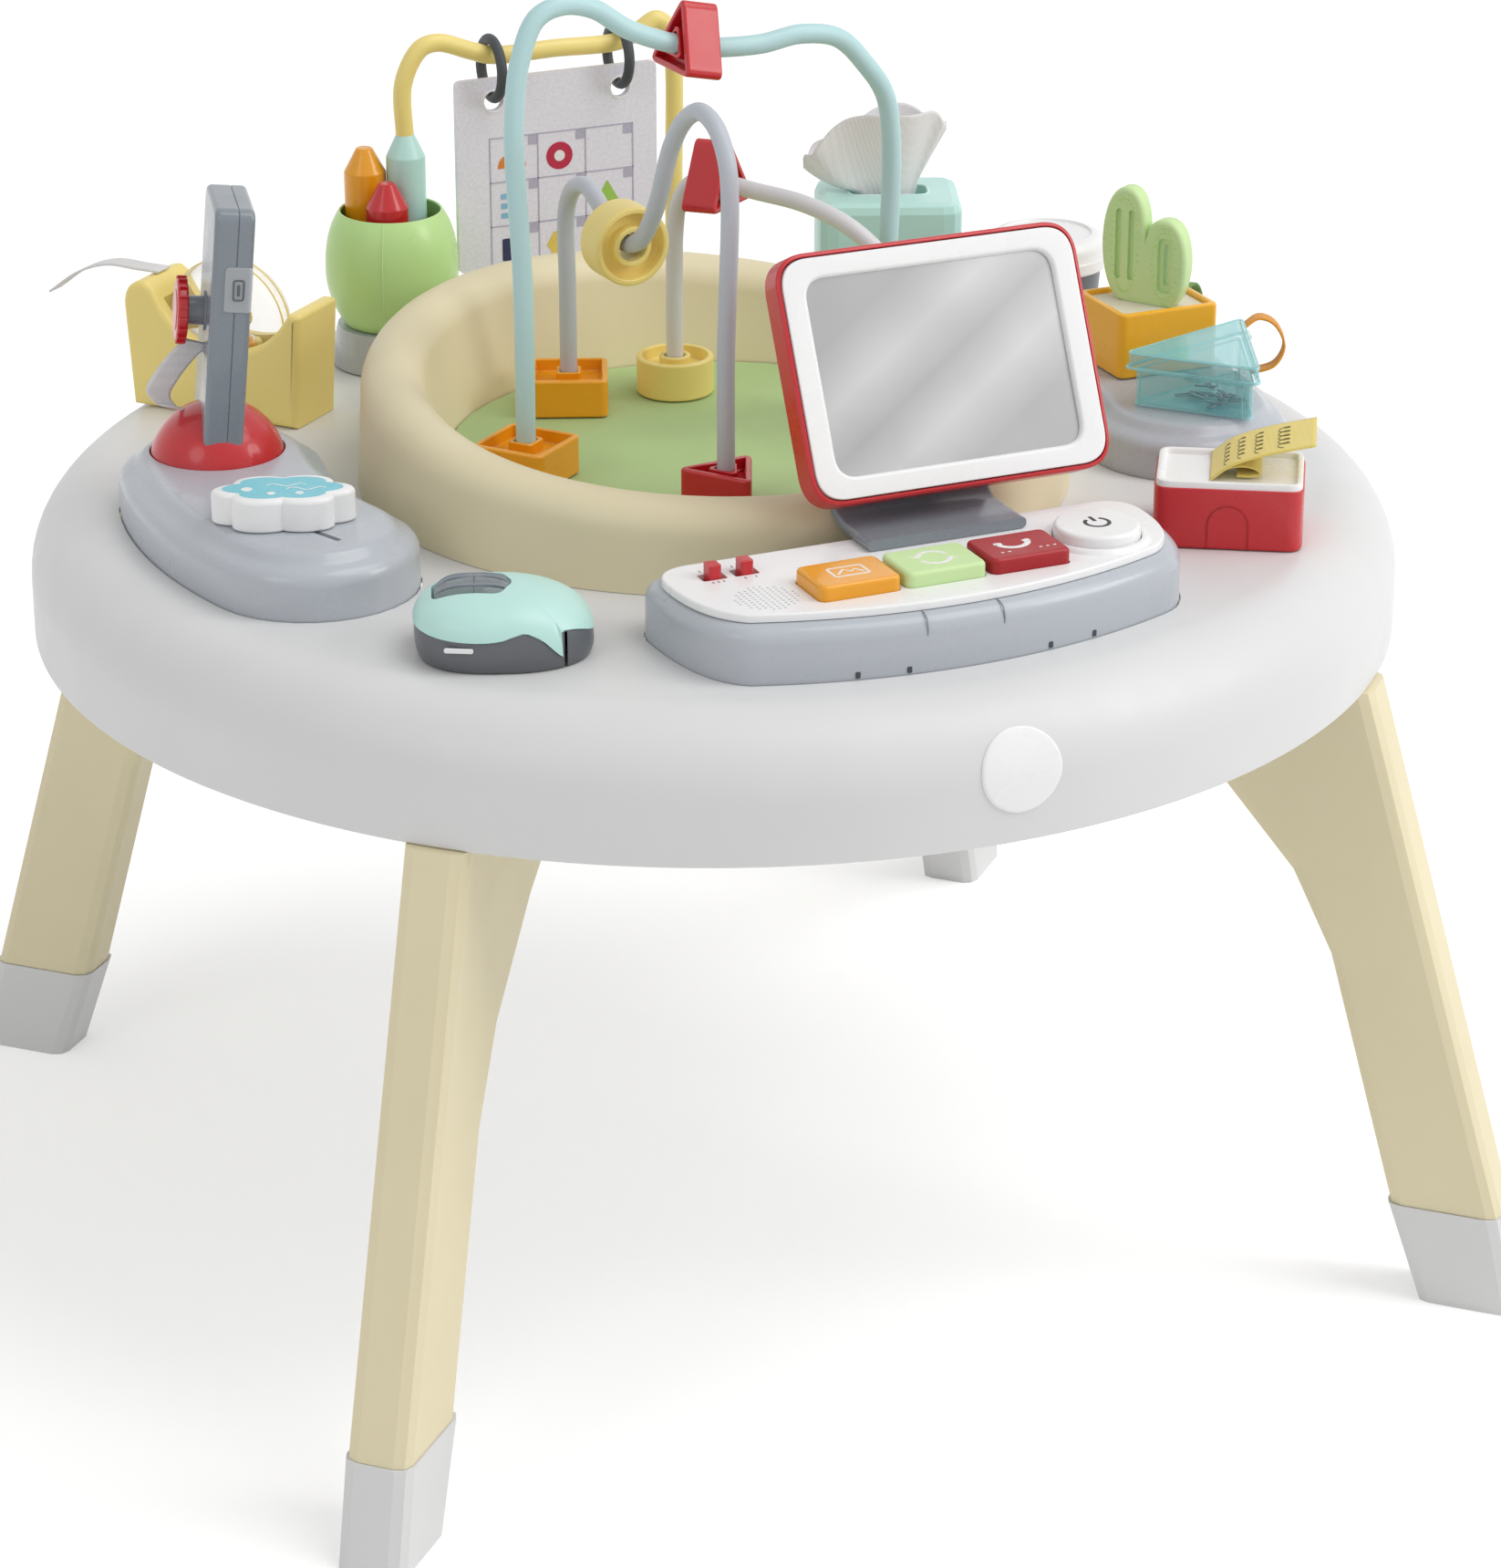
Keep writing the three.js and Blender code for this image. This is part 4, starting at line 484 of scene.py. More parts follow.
def merge(*parts):
    points, faces = [], []
    for more, loops in parts:
        faces += [tuple(i + len(points) for i in loop) for loop in loops]
        points += list(more)
    return points, faces


def moved(part, matrix):
    return [tuple(matrix @ Vector(p)) for p in part[0]], part[1]


def shift(x=0, y=0, z=0, turn=0):
    return Matrix.Translation((x, y, z)) @ Matrix.Rotation(turn, 4, "Z")


def on_desk(x, y, z=0, turn=0):
    """A place on the table top; the turn is in degrees."""
    return shift(x, y, DESK + z, math.radians(turn))


TABLE_FACE = on_desk(0, 0)


# An outline drawn flat, set upright: its x along Y or X, its y up
FACING_X = Matrix(((0, 0, 1, 0), (1, 0, 0, 0), (0, 1, 0, 0), (0, 0, 0, 1)))
FACING_Y = Matrix(((1, 0, 0, 0), (0, 0, -1, 0), (0, 1, 0, 0), (0, 0, 0, 1)))


def mesh_of(name, part, at, weld):
    """A mesh in metres from points and faces in millimetres, its faces turned outwards."""
    points, faces = part
    mesh = bpy.data.meshes.new(name)
    mesh.from_pydata([(at @ Vector(p)) * MM for p in points], [], faces)
    work = bmesh.new()
    work.from_mesh(mesh)
    if weld:
        bmesh.ops.remove_doubles(work, verts=work.verts, dist=1e-6)
    bmesh.ops.recalc_face_normals(work, faces=work.faces)
    work.to_mesh(mesh)
    work.free()
    return mesh


def weigh_normals(obj):
    obj.modifiers.new("weighted_normals", "WEIGHTED_NORMAL").keep_sharp = True


def shade_smooth(mesh, crease):
    """Smooth shading, with edges above an angle in degrees kept sharp."""
    mesh.polygons.foreach_set("use_smooth", [True] * len(mesh.polygons))
    mesh.set_sharp_from_angle(angle=math.radians(crease))


def piece(name, part, material, body, at=Matrix(), stands_for=(), crease=CREASE, weighted=True):
    """Makes a mesh from points and faces in millimetres, and lets it ride on a body."""
    mesh = mesh_of(name, part, at, True)
    shade_smooth(mesh, crease)
    mesh.materials.append(material)
    obj = new_object(name, mesh)
    if weighted:
        weigh_normals(obj)
    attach(obj, body)
    if stands_for:
        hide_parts(*stands_for)
    return obj


def carve(obj, *tools):
    """Cuts solids out of a piece, for good."""
    obj.modifiers.clear()
    cutters = [new_object("cutter", mesh_of("cutter", part, at, False)) for part, at in tools]
    for cutter in cutters:
        change = obj.modifiers.new("cut", "BOOLEAN")
        change.object = cutter
        change.operation = "DIFFERENCE"
        change.solver = "EXACT"
    graph = bpy.context.evaluated_depsgraph_get()
    mesh = bpy.data.meshes.new_from_object(obj.evaluated_get(graph))
    obj.modifiers.clear()
    obj.data = mesh
    shade_smooth(mesh, CREASE)
    weigh_normals(obj)
    for cutter in cutters:
        bpy.data.objects.remove(cutter)


def smoothing_group():
    """Shades a CAD node's faces smooth, with its hard edges kept."""
    group = bpy.data.node_groups.new("smooth_but_for_edges", "GeometryNodeTree")
    group.interface.new_socket("Geometry", in_out="INPUT", socket_type="NodeSocketGeometry")
    group.interface.new_socket("Geometry", in_out="OUTPUT", socket_type="NodeSocketGeometry")
    start = group.nodes.new("NodeGroupInput")
    end = group.nodes.new("NodeGroupOutput")
    faces = group.nodes.new("GeometryNodeSetShadeSmooth")
    edges = group.nodes.new("GeometryNodeSetShadeSmooth")
    edges.domain = "EDGE"
    edges.inputs["Shade Smooth"].default_value = False
    angle = group.nodes.new("GeometryNodeInputMeshEdgeAngle")
    sharp = group.nodes.new("FunctionNodeCompare")
    sharp.data_type = "FLOAT"
    sharp.operation = "GREATER_THAN"
    sharp.inputs[1].default_value = math.radians(48)
    group.links.new(start.outputs[0], faces.inputs["Geometry"])
    group.links.new(faces.outputs[0], edges.inputs["Geometry"])
    group.links.new(angle.outputs["Unsigned Angle"], sharp.inputs[0])
    group.links.new(sharp.outputs[0], edges.inputs["Selection"])
    group.links.new(edges.outputs[0], end.inputs[0])
    return group


smooth_group = smoothing_group()


def finish_node(name, material):
    """Gives a CAD node that stays its material and smooth shading."""
    obj = nodes[name]
    for slot in obj.material_slots:
        slot.material = material
    change = obj.modifiers.new("smooth", "NODES")
    change.node_group = smooth_group
    weigh_normals(obj)


# Table top, legs and feet
def bent_slot(radius, half, start, end, steps=40):
    outline = arc(radius + half, start, end, steps)
    outline += arc(half, end, end + 180, 16, arc(radius, end, end, 1)[0])[1:]
    outline += arc(radius - half, end, start, steps)[1:]
    outline += arc(half, start + 180, start + 360, 16, arc(radius, start, start, 1)[0])[1:-1]
    return outline


def keyboard_outline(drawn_in, steps=40):
    left, right, back, front = -137 + 0.6 * drawn_in, 153 - drawn_in, -209 - drawn_in, 326 - drawn_in
    corner, angle = 22, 22.5
    x = front * math.sin(math.radians(angle))
    y = -front * math.cos(math.radians(angle))
    outline = [Vector((left + corner, back))]
    outline += bezier([(left + corner, back), (left, back), (left, back - corner)])
    outline += bezier([(left, back - corner), (left, y + corner / 2), arc(front, -88 - angle, 0, 1)[0]])[:-1]
    outline += arc(front, -88 - angle, -90 + angle, steps)
    outline += bezier([(x, y), (right, y + corner / 2), (right, back - corner)])
    outline += bezier([(right, back - corner), (right, back), (right - corner, back)])
    return outline


def on_skirt(along, up, lift):
    """A point off the skirt, from lengths along and up it, counted from the front of the rim's lower edge."""
    angle = along / TABLE_RADIUS - QUARTER
    rise = max(up, 0) / RIM
    reach = TABLE_RADIUS - RIM + (RIM + lift) * math.cos(rise)
    height = DESK - RIM + min(up, 0) + (RIM + lift) * math.sin(rise)
    return Vector((reach * math.cos(angle), reach * math.sin(angle), height))


def make_table():
    wall = 3.5
    middle = (TABLE_RADIUS - RIM, -RIM)
    profile = [(0, 0)] + arc(RIM, 90, 0, 14, middle)
    profile += [(TABLE_RADIUS, 1 - SKIRT), (TABLE_RADIUS - 1, -SKIRT), (TABLE_RADIUS - 2.5, -SKIRT)]
    profile += [(TABLE_RADIUS - wall, 1 - SKIRT)]
    profile += arc(RIM - wall, 0, 90, 14, middle)
    profile += [(0, -wall)]
    top = piece("table_shell", turned(profile, 224), white, "desk", TABLE_FACE, ["table_top"])
    holes = [bent_slot(278, 57.8, 168.5, 196.5), bent_slot(273, 57.8, -16.5, 1.5), keyboard_outline(-0.8)]
    carve(top, *[(slab(hole, -12, 12), TABLE_FACE) for hole in holes])
    for name in ("front_left", "front_right", "back_left", "back_right"):
        finish_node(f"leg_{name}", cream)
        finish_node(f"foot_{name}", white)
    badge_radius, badge_up = 22.5, 7
    rings = []
    for share, lift in ((1, -0.4), (1, 0.5), (0.97, 1.1), (0.92, 1.3), (0.6, 1.3), (0.3, 1.3), (0.01, 1.3)):
        reach = badge_radius * share
        rings.append([on_skirt(reach * p.x, badge_up + reach * p.y, lift) for p in circle(1, 72)])
    piece("skirt_badge", loft(rings), bright, "desk")


# Bead maze
RING_HIGH = math.radians(112)


def ring_height(angle):
    return 47 + 35 * ((1 + math.cos(angle - RING_HIGH)) / 2) ** 2


def make_maze():
    sections = []
    count = 200
    for i in range(count):
        angle = TURN * i / count
        top = ring_height(angle)
        profile = [(201, 0.3), (200.6, 3)] + arc(18.5, 0, 180, 14, (179.5, top - 18.5))
        profile += [(150.5, 17), (150, 16), (150, 12.7), (139, 12.7), (139, 0.3)]
        sections.append([(r * math.cos(angle), r * math.sin(angle), z) for r, z in profile])
    piece("maze_wall", loft(sections, closed=True), cream, "desk", TABLE_FACE, ["maze_ring"])
    finish_node("maze_floor", floor_green)


WIRES = {
    "mint_wire": ((-118, -11), (105, 5), 263, 5.5, wire_mint, "mint", [
        (0, 0), (0, 0.42), (-0.016, 0.76), (0.005, 0.9), (0.05, 0.98), (0.12, 1), (0.2, 0.985), (0.3, 0.93),
        (0.464, 0.88), (0.65, 0.865), (0.77, 0.875), (0.875, 0.856), (0.955, 0.79), (1.01, 0.72), (1.03, 0.62),
        (1.02, 0.3), (1, 0)]),
    "grey_wire": ((-50, 94), (-36, -99), 214, 5, wire_grey, "light_grey", [
        (0, 0), (0, 0.36), (-0.005, 0.5), (0.01, 0.57), (0.06, 0.625), (0.14, 0.645), (0.21, 0.62),
        (0.28, 0.58), (0.38, 0.55), (0.48, 0.58), (0.58, 0.69), (0.68, 0.875), (0.77, 0.965), (0.86, 1),
        (0.95, 0.975), (1.01, 0.9), (1.025, 0.8), (1.01, 0.55), (1, 0.4), (1, 0)]),
    "white_wire": ((17, 95), (118, -45), 130, 5, white_grey, "white_shell", [
        (0, 0), (0, 0.5), (0.004, 0.75), (0.02, 0.88), (0.07, 0.975), (0.16, 1), (0.318, 0.985), (0.49, 0.965),
        (0.63, 0.915), (0.746, 0.83), (0.86, 0.69), (0.95, 0.5), (1, 0.26), (1, 0)]),
}


def wire_path(name, steps):
    (x0, y0), (x1, y1), height, _, _, _, route = WIRES[name]
    return spline([(x0 + (x1 - x0) * a, y0 + (y1 - y0) * a, 16.3 + height * h) for a, h in route], steps)


def make_wires():
    for name, (_, _, _, radius, material, slot, _) in WIRES.items():
        rod = tube(wire_path(name, 260), radius, 20)
        piece(f"{name}_rod", rod, material, "desk", TABLE_FACE, [name])


def triangle():
    corners = [(28 * math.cos(math.radians(a)), 28 * math.sin(math.radians(a))) for a in (90, 210, 330)]
    return rounded(corners, 8, 8)


def bead(outline, bore, faces=2):
    """A moulded bead: rim, sunk pocket, collar and bore."""
    spokes = [point.normalized() for point in outline]

    def collar_ring(radius, z):
        return level([spoke * radius for spoke in spokes], z)

    def face(sign):
        angles = [QUARTER * k / 4 for k in range(5)]
        edge = [(1.5 * (1 - math.cos(a)), 11 - 1.5 * (1 - math.sin(a))) for a in angles]
        rings = [level(inset(outline, i), sign * z) for i, z in edge]
        rings += [level(inset(outline, i), sign * z) for i, z in ((3, 11), (3.5, 10.5), (3.9, 4.4), (4.4, 4))]
        collar = bore + 3
        flat = [(collar + 0.5, 4), (collar, 4.5), (collar - 0.1, 10.5), (collar - 0.6, 11)]
        flat += [(bore + 0.5, 11), (bore, 10.5)]
        return rings + [collar_ring(radius, sign * z) for radius, z in flat]

    below = face(-1) if faces == 2 else face(-1)[:5] + [collar_ring(bore, -11)]
    return loft(face(1)[::-1] + below, closed=True)


def make_beads():
    square = rectangle(45, 45, 5, 8)
    puck = circle(22.5, 72)
    z = 16.6 + 11
    piece("mint_block", bead(square, 6.7, 1), orange, "mint_foot_bead", on_desk(-118, -11, z, 38),
          ["mint_wire_block"])
    piece("grey_block", bead(square, 6.2, 1), orange, "grey_foot_bead", on_desk(-50, 94, z, -22),
          ["grey_wire_block"])
    piece("grey_wedge", bead(triangle(), 6.2, 1), red, "grey_front_bead", on_desk(-36, -99, z, 66),
          ["grey_wire_wedge"])
    piece("white_puck", bead(puck, 6.2, 1), yellow, "white_foot_bead", on_desk(17, 95, z),
          ["white_wire_puck"])
    high = (("mint_wire", 8, triangle(), 6.8, red, "high_mint_bead", "red"),
            ("grey_wire", 8, puck, 8.4, yellow, "high_grey_bead", "yellow"),
            ("white_wire", 5, triangle(), 6.6, red, "high_white_bead", "red"))
    for wire, stop, outline, bore, material, body, slot in high:
        legs = len(WIRES[wire][6]) - 1
        fine = 200
        path = wire_path(wire, legs * fine)
        here = path[stop * fine]
        along = (path[stop * fine + 1] - path[stop * fine - 1]).normalized()
        across = Vector((0, 0, 1)).cross(along).normalized()
        out = along.cross(across)
        at = Matrix((across, out, along)).transposed().to_4x4()
        at.translation = here + Vector((0, 0, DESK))
        piece(f"{wire}_high_bead", bead(outline, bore), material, body, at, [f"{wire}_bead"])


# Toy phone
def base_steps(bottom, top):
    """The rounded shoulder of a toy's base, with its raised plateau."""
    shoulder = ((0, 16), (0.6, 12.5), (2.4, 9.6), (5, 7.8), (8, 6.4), (10.4, 4.6), (12.2, 2.2), (14.6, 0.5),
                (18, 0))
    return [(0, bottom)] + [(amount, top - drop) for amount, drop in shoulder]


def make_plinth(name, slot_line, heights, node):
    """A grey base under toys: a bent bar with round ends."""
    solid = stepped(bent_slot(*slot_line), base_steps(*heights))
    return piece(name, solid, pale_grey, "desk", TABLE_FACE, [node])


def phone_place():
    """The phone leans back about the middle of its ball."""
    lean = Matrix.Rotation(math.radians(-5.4), 4, "Y")
    return on_desk(-274, 57, 24, 167) @ lean @ Matrix.Translation((0, 0, -24))


def make_phone():
    plinth = make_plinth("phone_plinth", (278, 57, 168.5, 196.5), (-22, 34), "phone_base")
    socket = turned([(0, -38.8)] + arc(38.8, -89, 89, 40) + [(0, 38.8)])
    track = slab(rectangle(88.8, 3.4, 1.7), 24, 40)
    carve(plinth, (socket, on_desk(-274, 57, 24)), (track, on_desk(-278, -68, 0, -68)))

    at = phone_place()
    dome = [(0, -2), (27.7, -2)] + arc(38, -43.2, 89.9, 40, (0, 24)) + [(0, 62)]
    piece("phone_ball_dome", turned(dome), red, "phone", at, ["phone_ball"])
    front = rounded([(-30, 30), (30, 30), (30, 177.5), (-30, 177.5)], 8, 8)
    core = slab(inset(front, 0.7), -3, 1)
    halves = merge(slab(front, -10, -1.2, 0.5, 3), slab(front, -0.8, 12, 3, 0.5), core)
    piece("phone_handset_shells", moved(halves, FACING_X), slate, "phone", at, ["phone_handset"])
    stub = merge(slab(circle(8, 40), 11.8, 21.6, 0.4, 0), slab(circle(11, 40), 11.8, 13.2, 0.6, 0))
    piece("phone_stub", moved(stub, shift(z=113) @ FACING_X), slate, "phone", at)

    on_edge = Matrix.Translation((-2.5, 29.8, 134)) @ Matrix.Rotation(-QUARTER, 4, "X")
    plate = moved(slab(rectangle(15, 25, 2.5), 0, 1.1, 0.4, 0), on_edge)
    piece("phone_edge_plate", plate, plate_clear, "phone", at)
    loop = [Vector((p.x, p.y, 1.1)) for p in rectangle(5.5, 11, 1.4)]
    latch = merge(tube(loop, 0.5, 8, closed=True), tube([(0, -3, 1.1), (0, 3, 1.1)], 0.8, 10))
    piece("phone_edge_latch", moved(latch, on_edge), dark, "phone", at)

    rib = slab(rectangle(3.2, 1.1, 0.5, 3), 0.4, 5.4, 0.3)
    ribs = [moved(rib, shift(17.2 * math.cos(a), 17.2 * math.sin(a), 0, a)) for a in turns(18)]
    disc = merge(slab(circle(17), 0, 6, 1.4), slab(circle(11.5, 48), 5.5, 6.4, 0.6, 0), *ribs)
    disc = moved(disc, shift(22, 0, 113) @ FACING_X)
    piece("phone_dial_disc", disc, red, "dial", at, ["phone_dial"])


def band(path, width, across, rows=8):
    """An open strip of cloth along a path, as one surface."""
    path = [Vector(p) for p in path]
    side = Vector(across).normalized() * width / 2
    points = [tuple(p + side * (2 * j / rows - 1)) for p in path for j in range(rows + 1)]
    faces = []
    for i in range(len(path) - 1):
        for j in range(rows):
            a = i * (rows + 1) + j
            faces.append((a, a + 1, a + rows + 2, a + rows + 1))
    return points, faces


def cloth_piece(name, part, material, body, at, thickness, stands_for=()):
    """A sheet of cloth, thickened evenly about its surface."""
    obj = piece(name, part, material, body, at, stands_for, 80, False)
    solid = obj.modifiers.new("thickness", "SOLIDIFY")
    solid.thickness = thickness * MM
    solid.offset = 0


def make_loop(name, points, across, material, body):
    """A loop of narrow webbing, hung on a toy."""
    width = 10
    path = spline(points, 32)
    cloth_piece(name, band(path, width, across), material, body, TABLE_FACE, 1.4)


def make_strap():
    foot = 24 + math.sqrt(38 ** 2 - 22 ** 2) + 1.2
    path = spline([(15, 0, 95), (22, 0, 88), (31, 0, 75), (35, 0, 65), (30, 0, foot + 2), (22, 0, foot)], 48)
    strap = band(path, 14, (0.93, 0.25, 0.27))
    cloth_piece("phone_strap_loop", strap, ribbon_cloth, "phone", phone_place(), 1.8,
                ["phone_strap"])


# Cloud slider
def cloud_outline(length, width, count=144):
    outline = []
    for i in range(count):
        angle = TURN * i / count
        swell = 1 - 0.2 * (1 - abs(math.cos(3 * angle)) ** 0.8)
        outline.append(Vector((length / 2 * swell * math.cos(angle), width / 2 * swell * math.sin(angle))))
    return outline


def make_cloud():
    at = on_desk(-278, -68, 34.3, -20)
    outline = cloud_outline(76, 46)
    top = 18
    body = slab(outline, 0, top, 3, 1.5, steps=6)
    stem = moved(slab(rectangle(12, 2.6, 1.2), -10, 3), shift(turn=math.radians(-48)))
    piece("cloud_puff", merge(body, stem), bright, "cloud", at, ["cloud_slider"])
    sticker = slab(cloud_outline(64, 36), top - 0.3, top + 0.12, 0.1, 0)
    piece("cloud_sticker", sticker, inks["cyan"], "cloud", at)
    spots = [moved(slab(circle(r, 28), top + 0.1, top + 0.25), shift(x, y, 0))
             for r, x, y in ((3, -19, -2), (2.2, -6, -9), (2.2, 9, -9))]
    waves = []
    for x, y in ((-9, 4), (2, -2)):
        crest = [(x + 3 * k, y + 2.2 * math.sin(1.3 * k)) for k in range(8)]
        waves.append(moved(stroke(crest, 0.9), shift(z=top + 0.15)))
    piece("cloud_sticker_marks", merge(*spots, *waves), inks["white"], "cloud", at)


# Tape dispenser
def make_tape():
    at = on_desk(-212, 219, SEAT, -49.7)
    half = 59.5
    profile = [Vector((-half + 4, 0)), Vector((half - 4, 0)), Vector((half, 66))]
    profile += bezier([(half, 66), (half, 69), (half - 3, 69)], 4)
    profile += [Vector((half - 7.5, 69))]
    profile += bezier([(half - 7.5, 69), (half - 24, 41), (6, 41)], 16)
    profile += bezier([(6, 41), (-half / 2 + 4, 41), (-half + 19, 73)], 16)
    profile += bezier([(-half + 17, 76), (-half, 77), (-half, 60)], 12)
    body = moved(slab(profile, -23, 23, 4, steps=6), FACING_Y)
    stand = piece("tape_saddle", body, yellow, "desk", at, ["tape_stand"])
    centre = 52
    pocket = moved(slab(circle(39, 96), -14, 14), FACING_Y)
    carve(stand, (moved(pocket, shift(z=centre)), at))

    rounding = arc(10, -90, 0, 8, (28, -3)) + arc(10, 0, 90, 8, (28, 3))
    on_side = shift(z=centre) @ Matrix.Rotation(QUARTER, 4, "X")
    drum = moved(turned([(0, -13), (10, -13)] + rounding + [(10, 13), (0, 13)]), on_side)
    piece("tape_drum", drum, clearish, "globe", at, ["tape_globe"])
    seams = []
    for y in (-3.5, 3.5):
        hoop = [(38 * math.cos(a), y, centre + 38 * math.sin(a)) for a in turns(96)]
        seams.append(tube(hoop, 0.5, 8, closed=True))
    piece("tape_drum_seams", merge(*seams), yellow, "globe", at)
    hub = [(0, -16.2), (2.9, -16.2), (2.9, -13), (7, -12.6), (7, 12.6), (2.9, 13), (2.9, 16.2), (0, 16.2)]
    piece("tape_drum_hub", moved(turned(hub, 40), on_side), yellow, "globe", at)
    chance = random.Random(7)
    kinds = ((bright, "white_gloss", 5.2, 13), (yellow, "yellow", 3.6, 12), (orange, "orange", 3, 10))
    for material, slot, size, count in kinds:
        balls = []
        for _ in range(count):
            angle = chance.uniform(200, 340)
            reach = chance.uniform(14, 36 - size - 2)
            ball = turned(arc(size, -89.9, 89.9, 10), 18)
            balls.append(moved(ball, shift(reach * math.cos(math.radians(angle)), chance.uniform(-7, 7),
                                           centre + reach * math.sin(math.radians(angle)))))
        piece(f"tape_drum_beads_{slot}", merge(*balls), material, "globe", at)

    outer = 76 + 1.6
    path = spline([(-half + 15, 0, outer), (-half, 0, outer), (-half - 62 / 3, 0, outer),
                   (-half - 124 / 3, 0, outer - 22 / 3), (-half - 62, 0, outer - 22)], 48)
    cloth_piece("tape_ribbon_band", band(path, 13, (0, 1, 0)), ribbon_cloth, "desk", at, 1.2,
                ["tape_ribbon"])


# Crayon cup, crayons and calendar
def crayon(top, radius=12.6, bottom=31.3):
    barrel = [(0, bottom), (radius - 0.8, bottom), (radius, bottom + 1), (radius, top - 15)]
    tip = [(radius - 0.4, top - 13.8), (5.6, top - 1.6), (5, top - 0.5), (4, top), (0, top)]
    return turned(barrel + tip, 72)


def make_cup():
    at = on_desk(-96, 262)
    pedestal = [(0, SEAT), (36, SEAT), (37, 1.3), (34.6, 22), (33.6, 25), (0, 25)]
    piece("cup_pedestal", turned(pedestal), pale_grey, "desk", at)
    outer = [(0, 25.2), (28, 25.2), (29.4, 26)]
    outer += bezier([(29.4, 26), (40, 42), (40, 59)], 12)
    outer += bezier([(40, 59), (40, 82), (31.4, 94.4)], 12)
    outer += [(31, 95), (30.2, 95), (29.8, 94.4)]
    outer += bezier([(29.8, 94.4), (37, 82), (37, 59)], 12)
    outer += bezier([(37, 59), (37, 46), (28, 31)], 10) + [(0, 31)]
    piece("cup_body", turned(outer), green, "desk", at, ["crayon_cup"])
    angle = math.radians(-118)
    path = [((r + 0.1) * math.cos(angle), (r + 0.1) * math.sin(angle), z) for r, z in outer[3:27]]
    piece("cup_seam", tube(path, 0.35, 6), leaf, "desk", at)
    orange_crayon = moved(crayon(131), shift(-11, 12.5))
    piece("orange_crayon", orange_crayon, orange, "desk", at, ["crayons"], 24)
    piece("red_crayon", moved(crayon(115), shift(-6.5, -12.5)), red, "desk", at, crease=24)


def make_calendar():
    x0, y0 = -84, 266
    at = TABLE_FACE
    piece("mint_crayon", moved(crayon(140, 11.8), shift(x0, y0)), mint, "desk", at, crease=24)
    route = [(x0, 134.5), (x0, 170), (x0 + 11, 189.25), (x0 + 22, 192), (x0 + 44, 181 + 11 / 3)]
    route += [(-28, 181), (13, 181), (54, 181), (68, 186.5), (79, 192)]
    route += [(90 - 11 / 3, 186.5), (90, 170), (90, 90.5), (90, 0.3)]
    wire = tube(spline([(x, y0, z) for x, z in route], 220), 5.5, 20)
    piece("calendar_bow", wire, yellow, "desk", at, ["calendar_arch"])

    finish_node("calendar_page", paper)
    low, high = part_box("calendar_page")
    front = low.y / MM
    left, top = low.x / MM, high.z / MM - DESK
    for side, x in (("left", -28), ("right", 54)):
        hoop = [(x, y0 + 17.7 * math.cos(a), 172.8 + 17.7 * math.sin(a)) for a in turns(64)]
        piece(f"calendar_hoop_{side}", tube(hoop, 3.2, 14, closed=True), charcoal, "calendar", at,
              [f"calendar_ring_{side}"])
        eyelet = [(x + 6.6 * math.cos(a), front, top - 14 + 6.6 * math.sin(a)) for a in turns(40)]
        edging = tube(eyelet, 0.7, 8, closed=True)
        piece(f"calendar_eyelet_{side}", edging, bright, "calendar", at)

    def stamp(name, shapes, ink, lift=0.1):
        parts = []
        for outline, x, z in shapes:
            upright = moved(slab(outline, 0, 0.15), FACING_Y)
            parts.append(moved(upright, shift(left + x, front - lift, top - z)))
        piece(f"calendar_print_{name}", merge(*parts), inks[ink], "calendar", at)

    cell_x, cell_z, x_start, z_start = 31, 27.5, 21, 37
    lines = [(rectangle(0.8, 82, 0.2, 1), x_start + cell_x * i, z_start + 41) for i in range(4)]
    lines += [(rectangle(93.8, 0.8, 0.2, 1), x_start + 46.5, z_start + cell_z * i) for i in range(3)]
    tabs = [(rectangle(5.6, 5.6, 0.3, 1), x_start + cell_x * (i + 1) - 3.4, z_start + cell_z * j + 3.4)
            for i in range(3) for j in range(3)]
    stamp("grid", lines + tabs, "lilac")
    centre = [[(x_start + cell_x * (i + 0.45), z_start + cell_z * (j + 0.55)) for i in range(3)]
              for j in range(3)]
    half_disc = arc(9, 0, 180, 24)
    stamp("half_disc", [(half_disc, centre[0][0][0], centre[0][0][1] + 4)], "orange")
    stamp("disc", [(circle(8.5), *centre[0][1])], "crimson")
    stamp("disc_middle", [(circle(3.4), *centre[0][1])], "white", 0.25)
    stamp("triangle", [(rounded([(-9, -7), (9, -7), (0, 9)], 1.5), *centre[1][2])], "green")
    bar_x, bar_z = centre[1][0]
    stamp("bars", [(rectangle(15, 3.4, 1), bar_x, bar_z + dz) for dz in (-6, 0, 6)], "blue")
    stamp("hexagon", [(circle(9, 6), *centre[2][1])], "yellow")
    stamp("square", [(rectangle(14, 14, 1.2), *centre[2][0])], "navy")


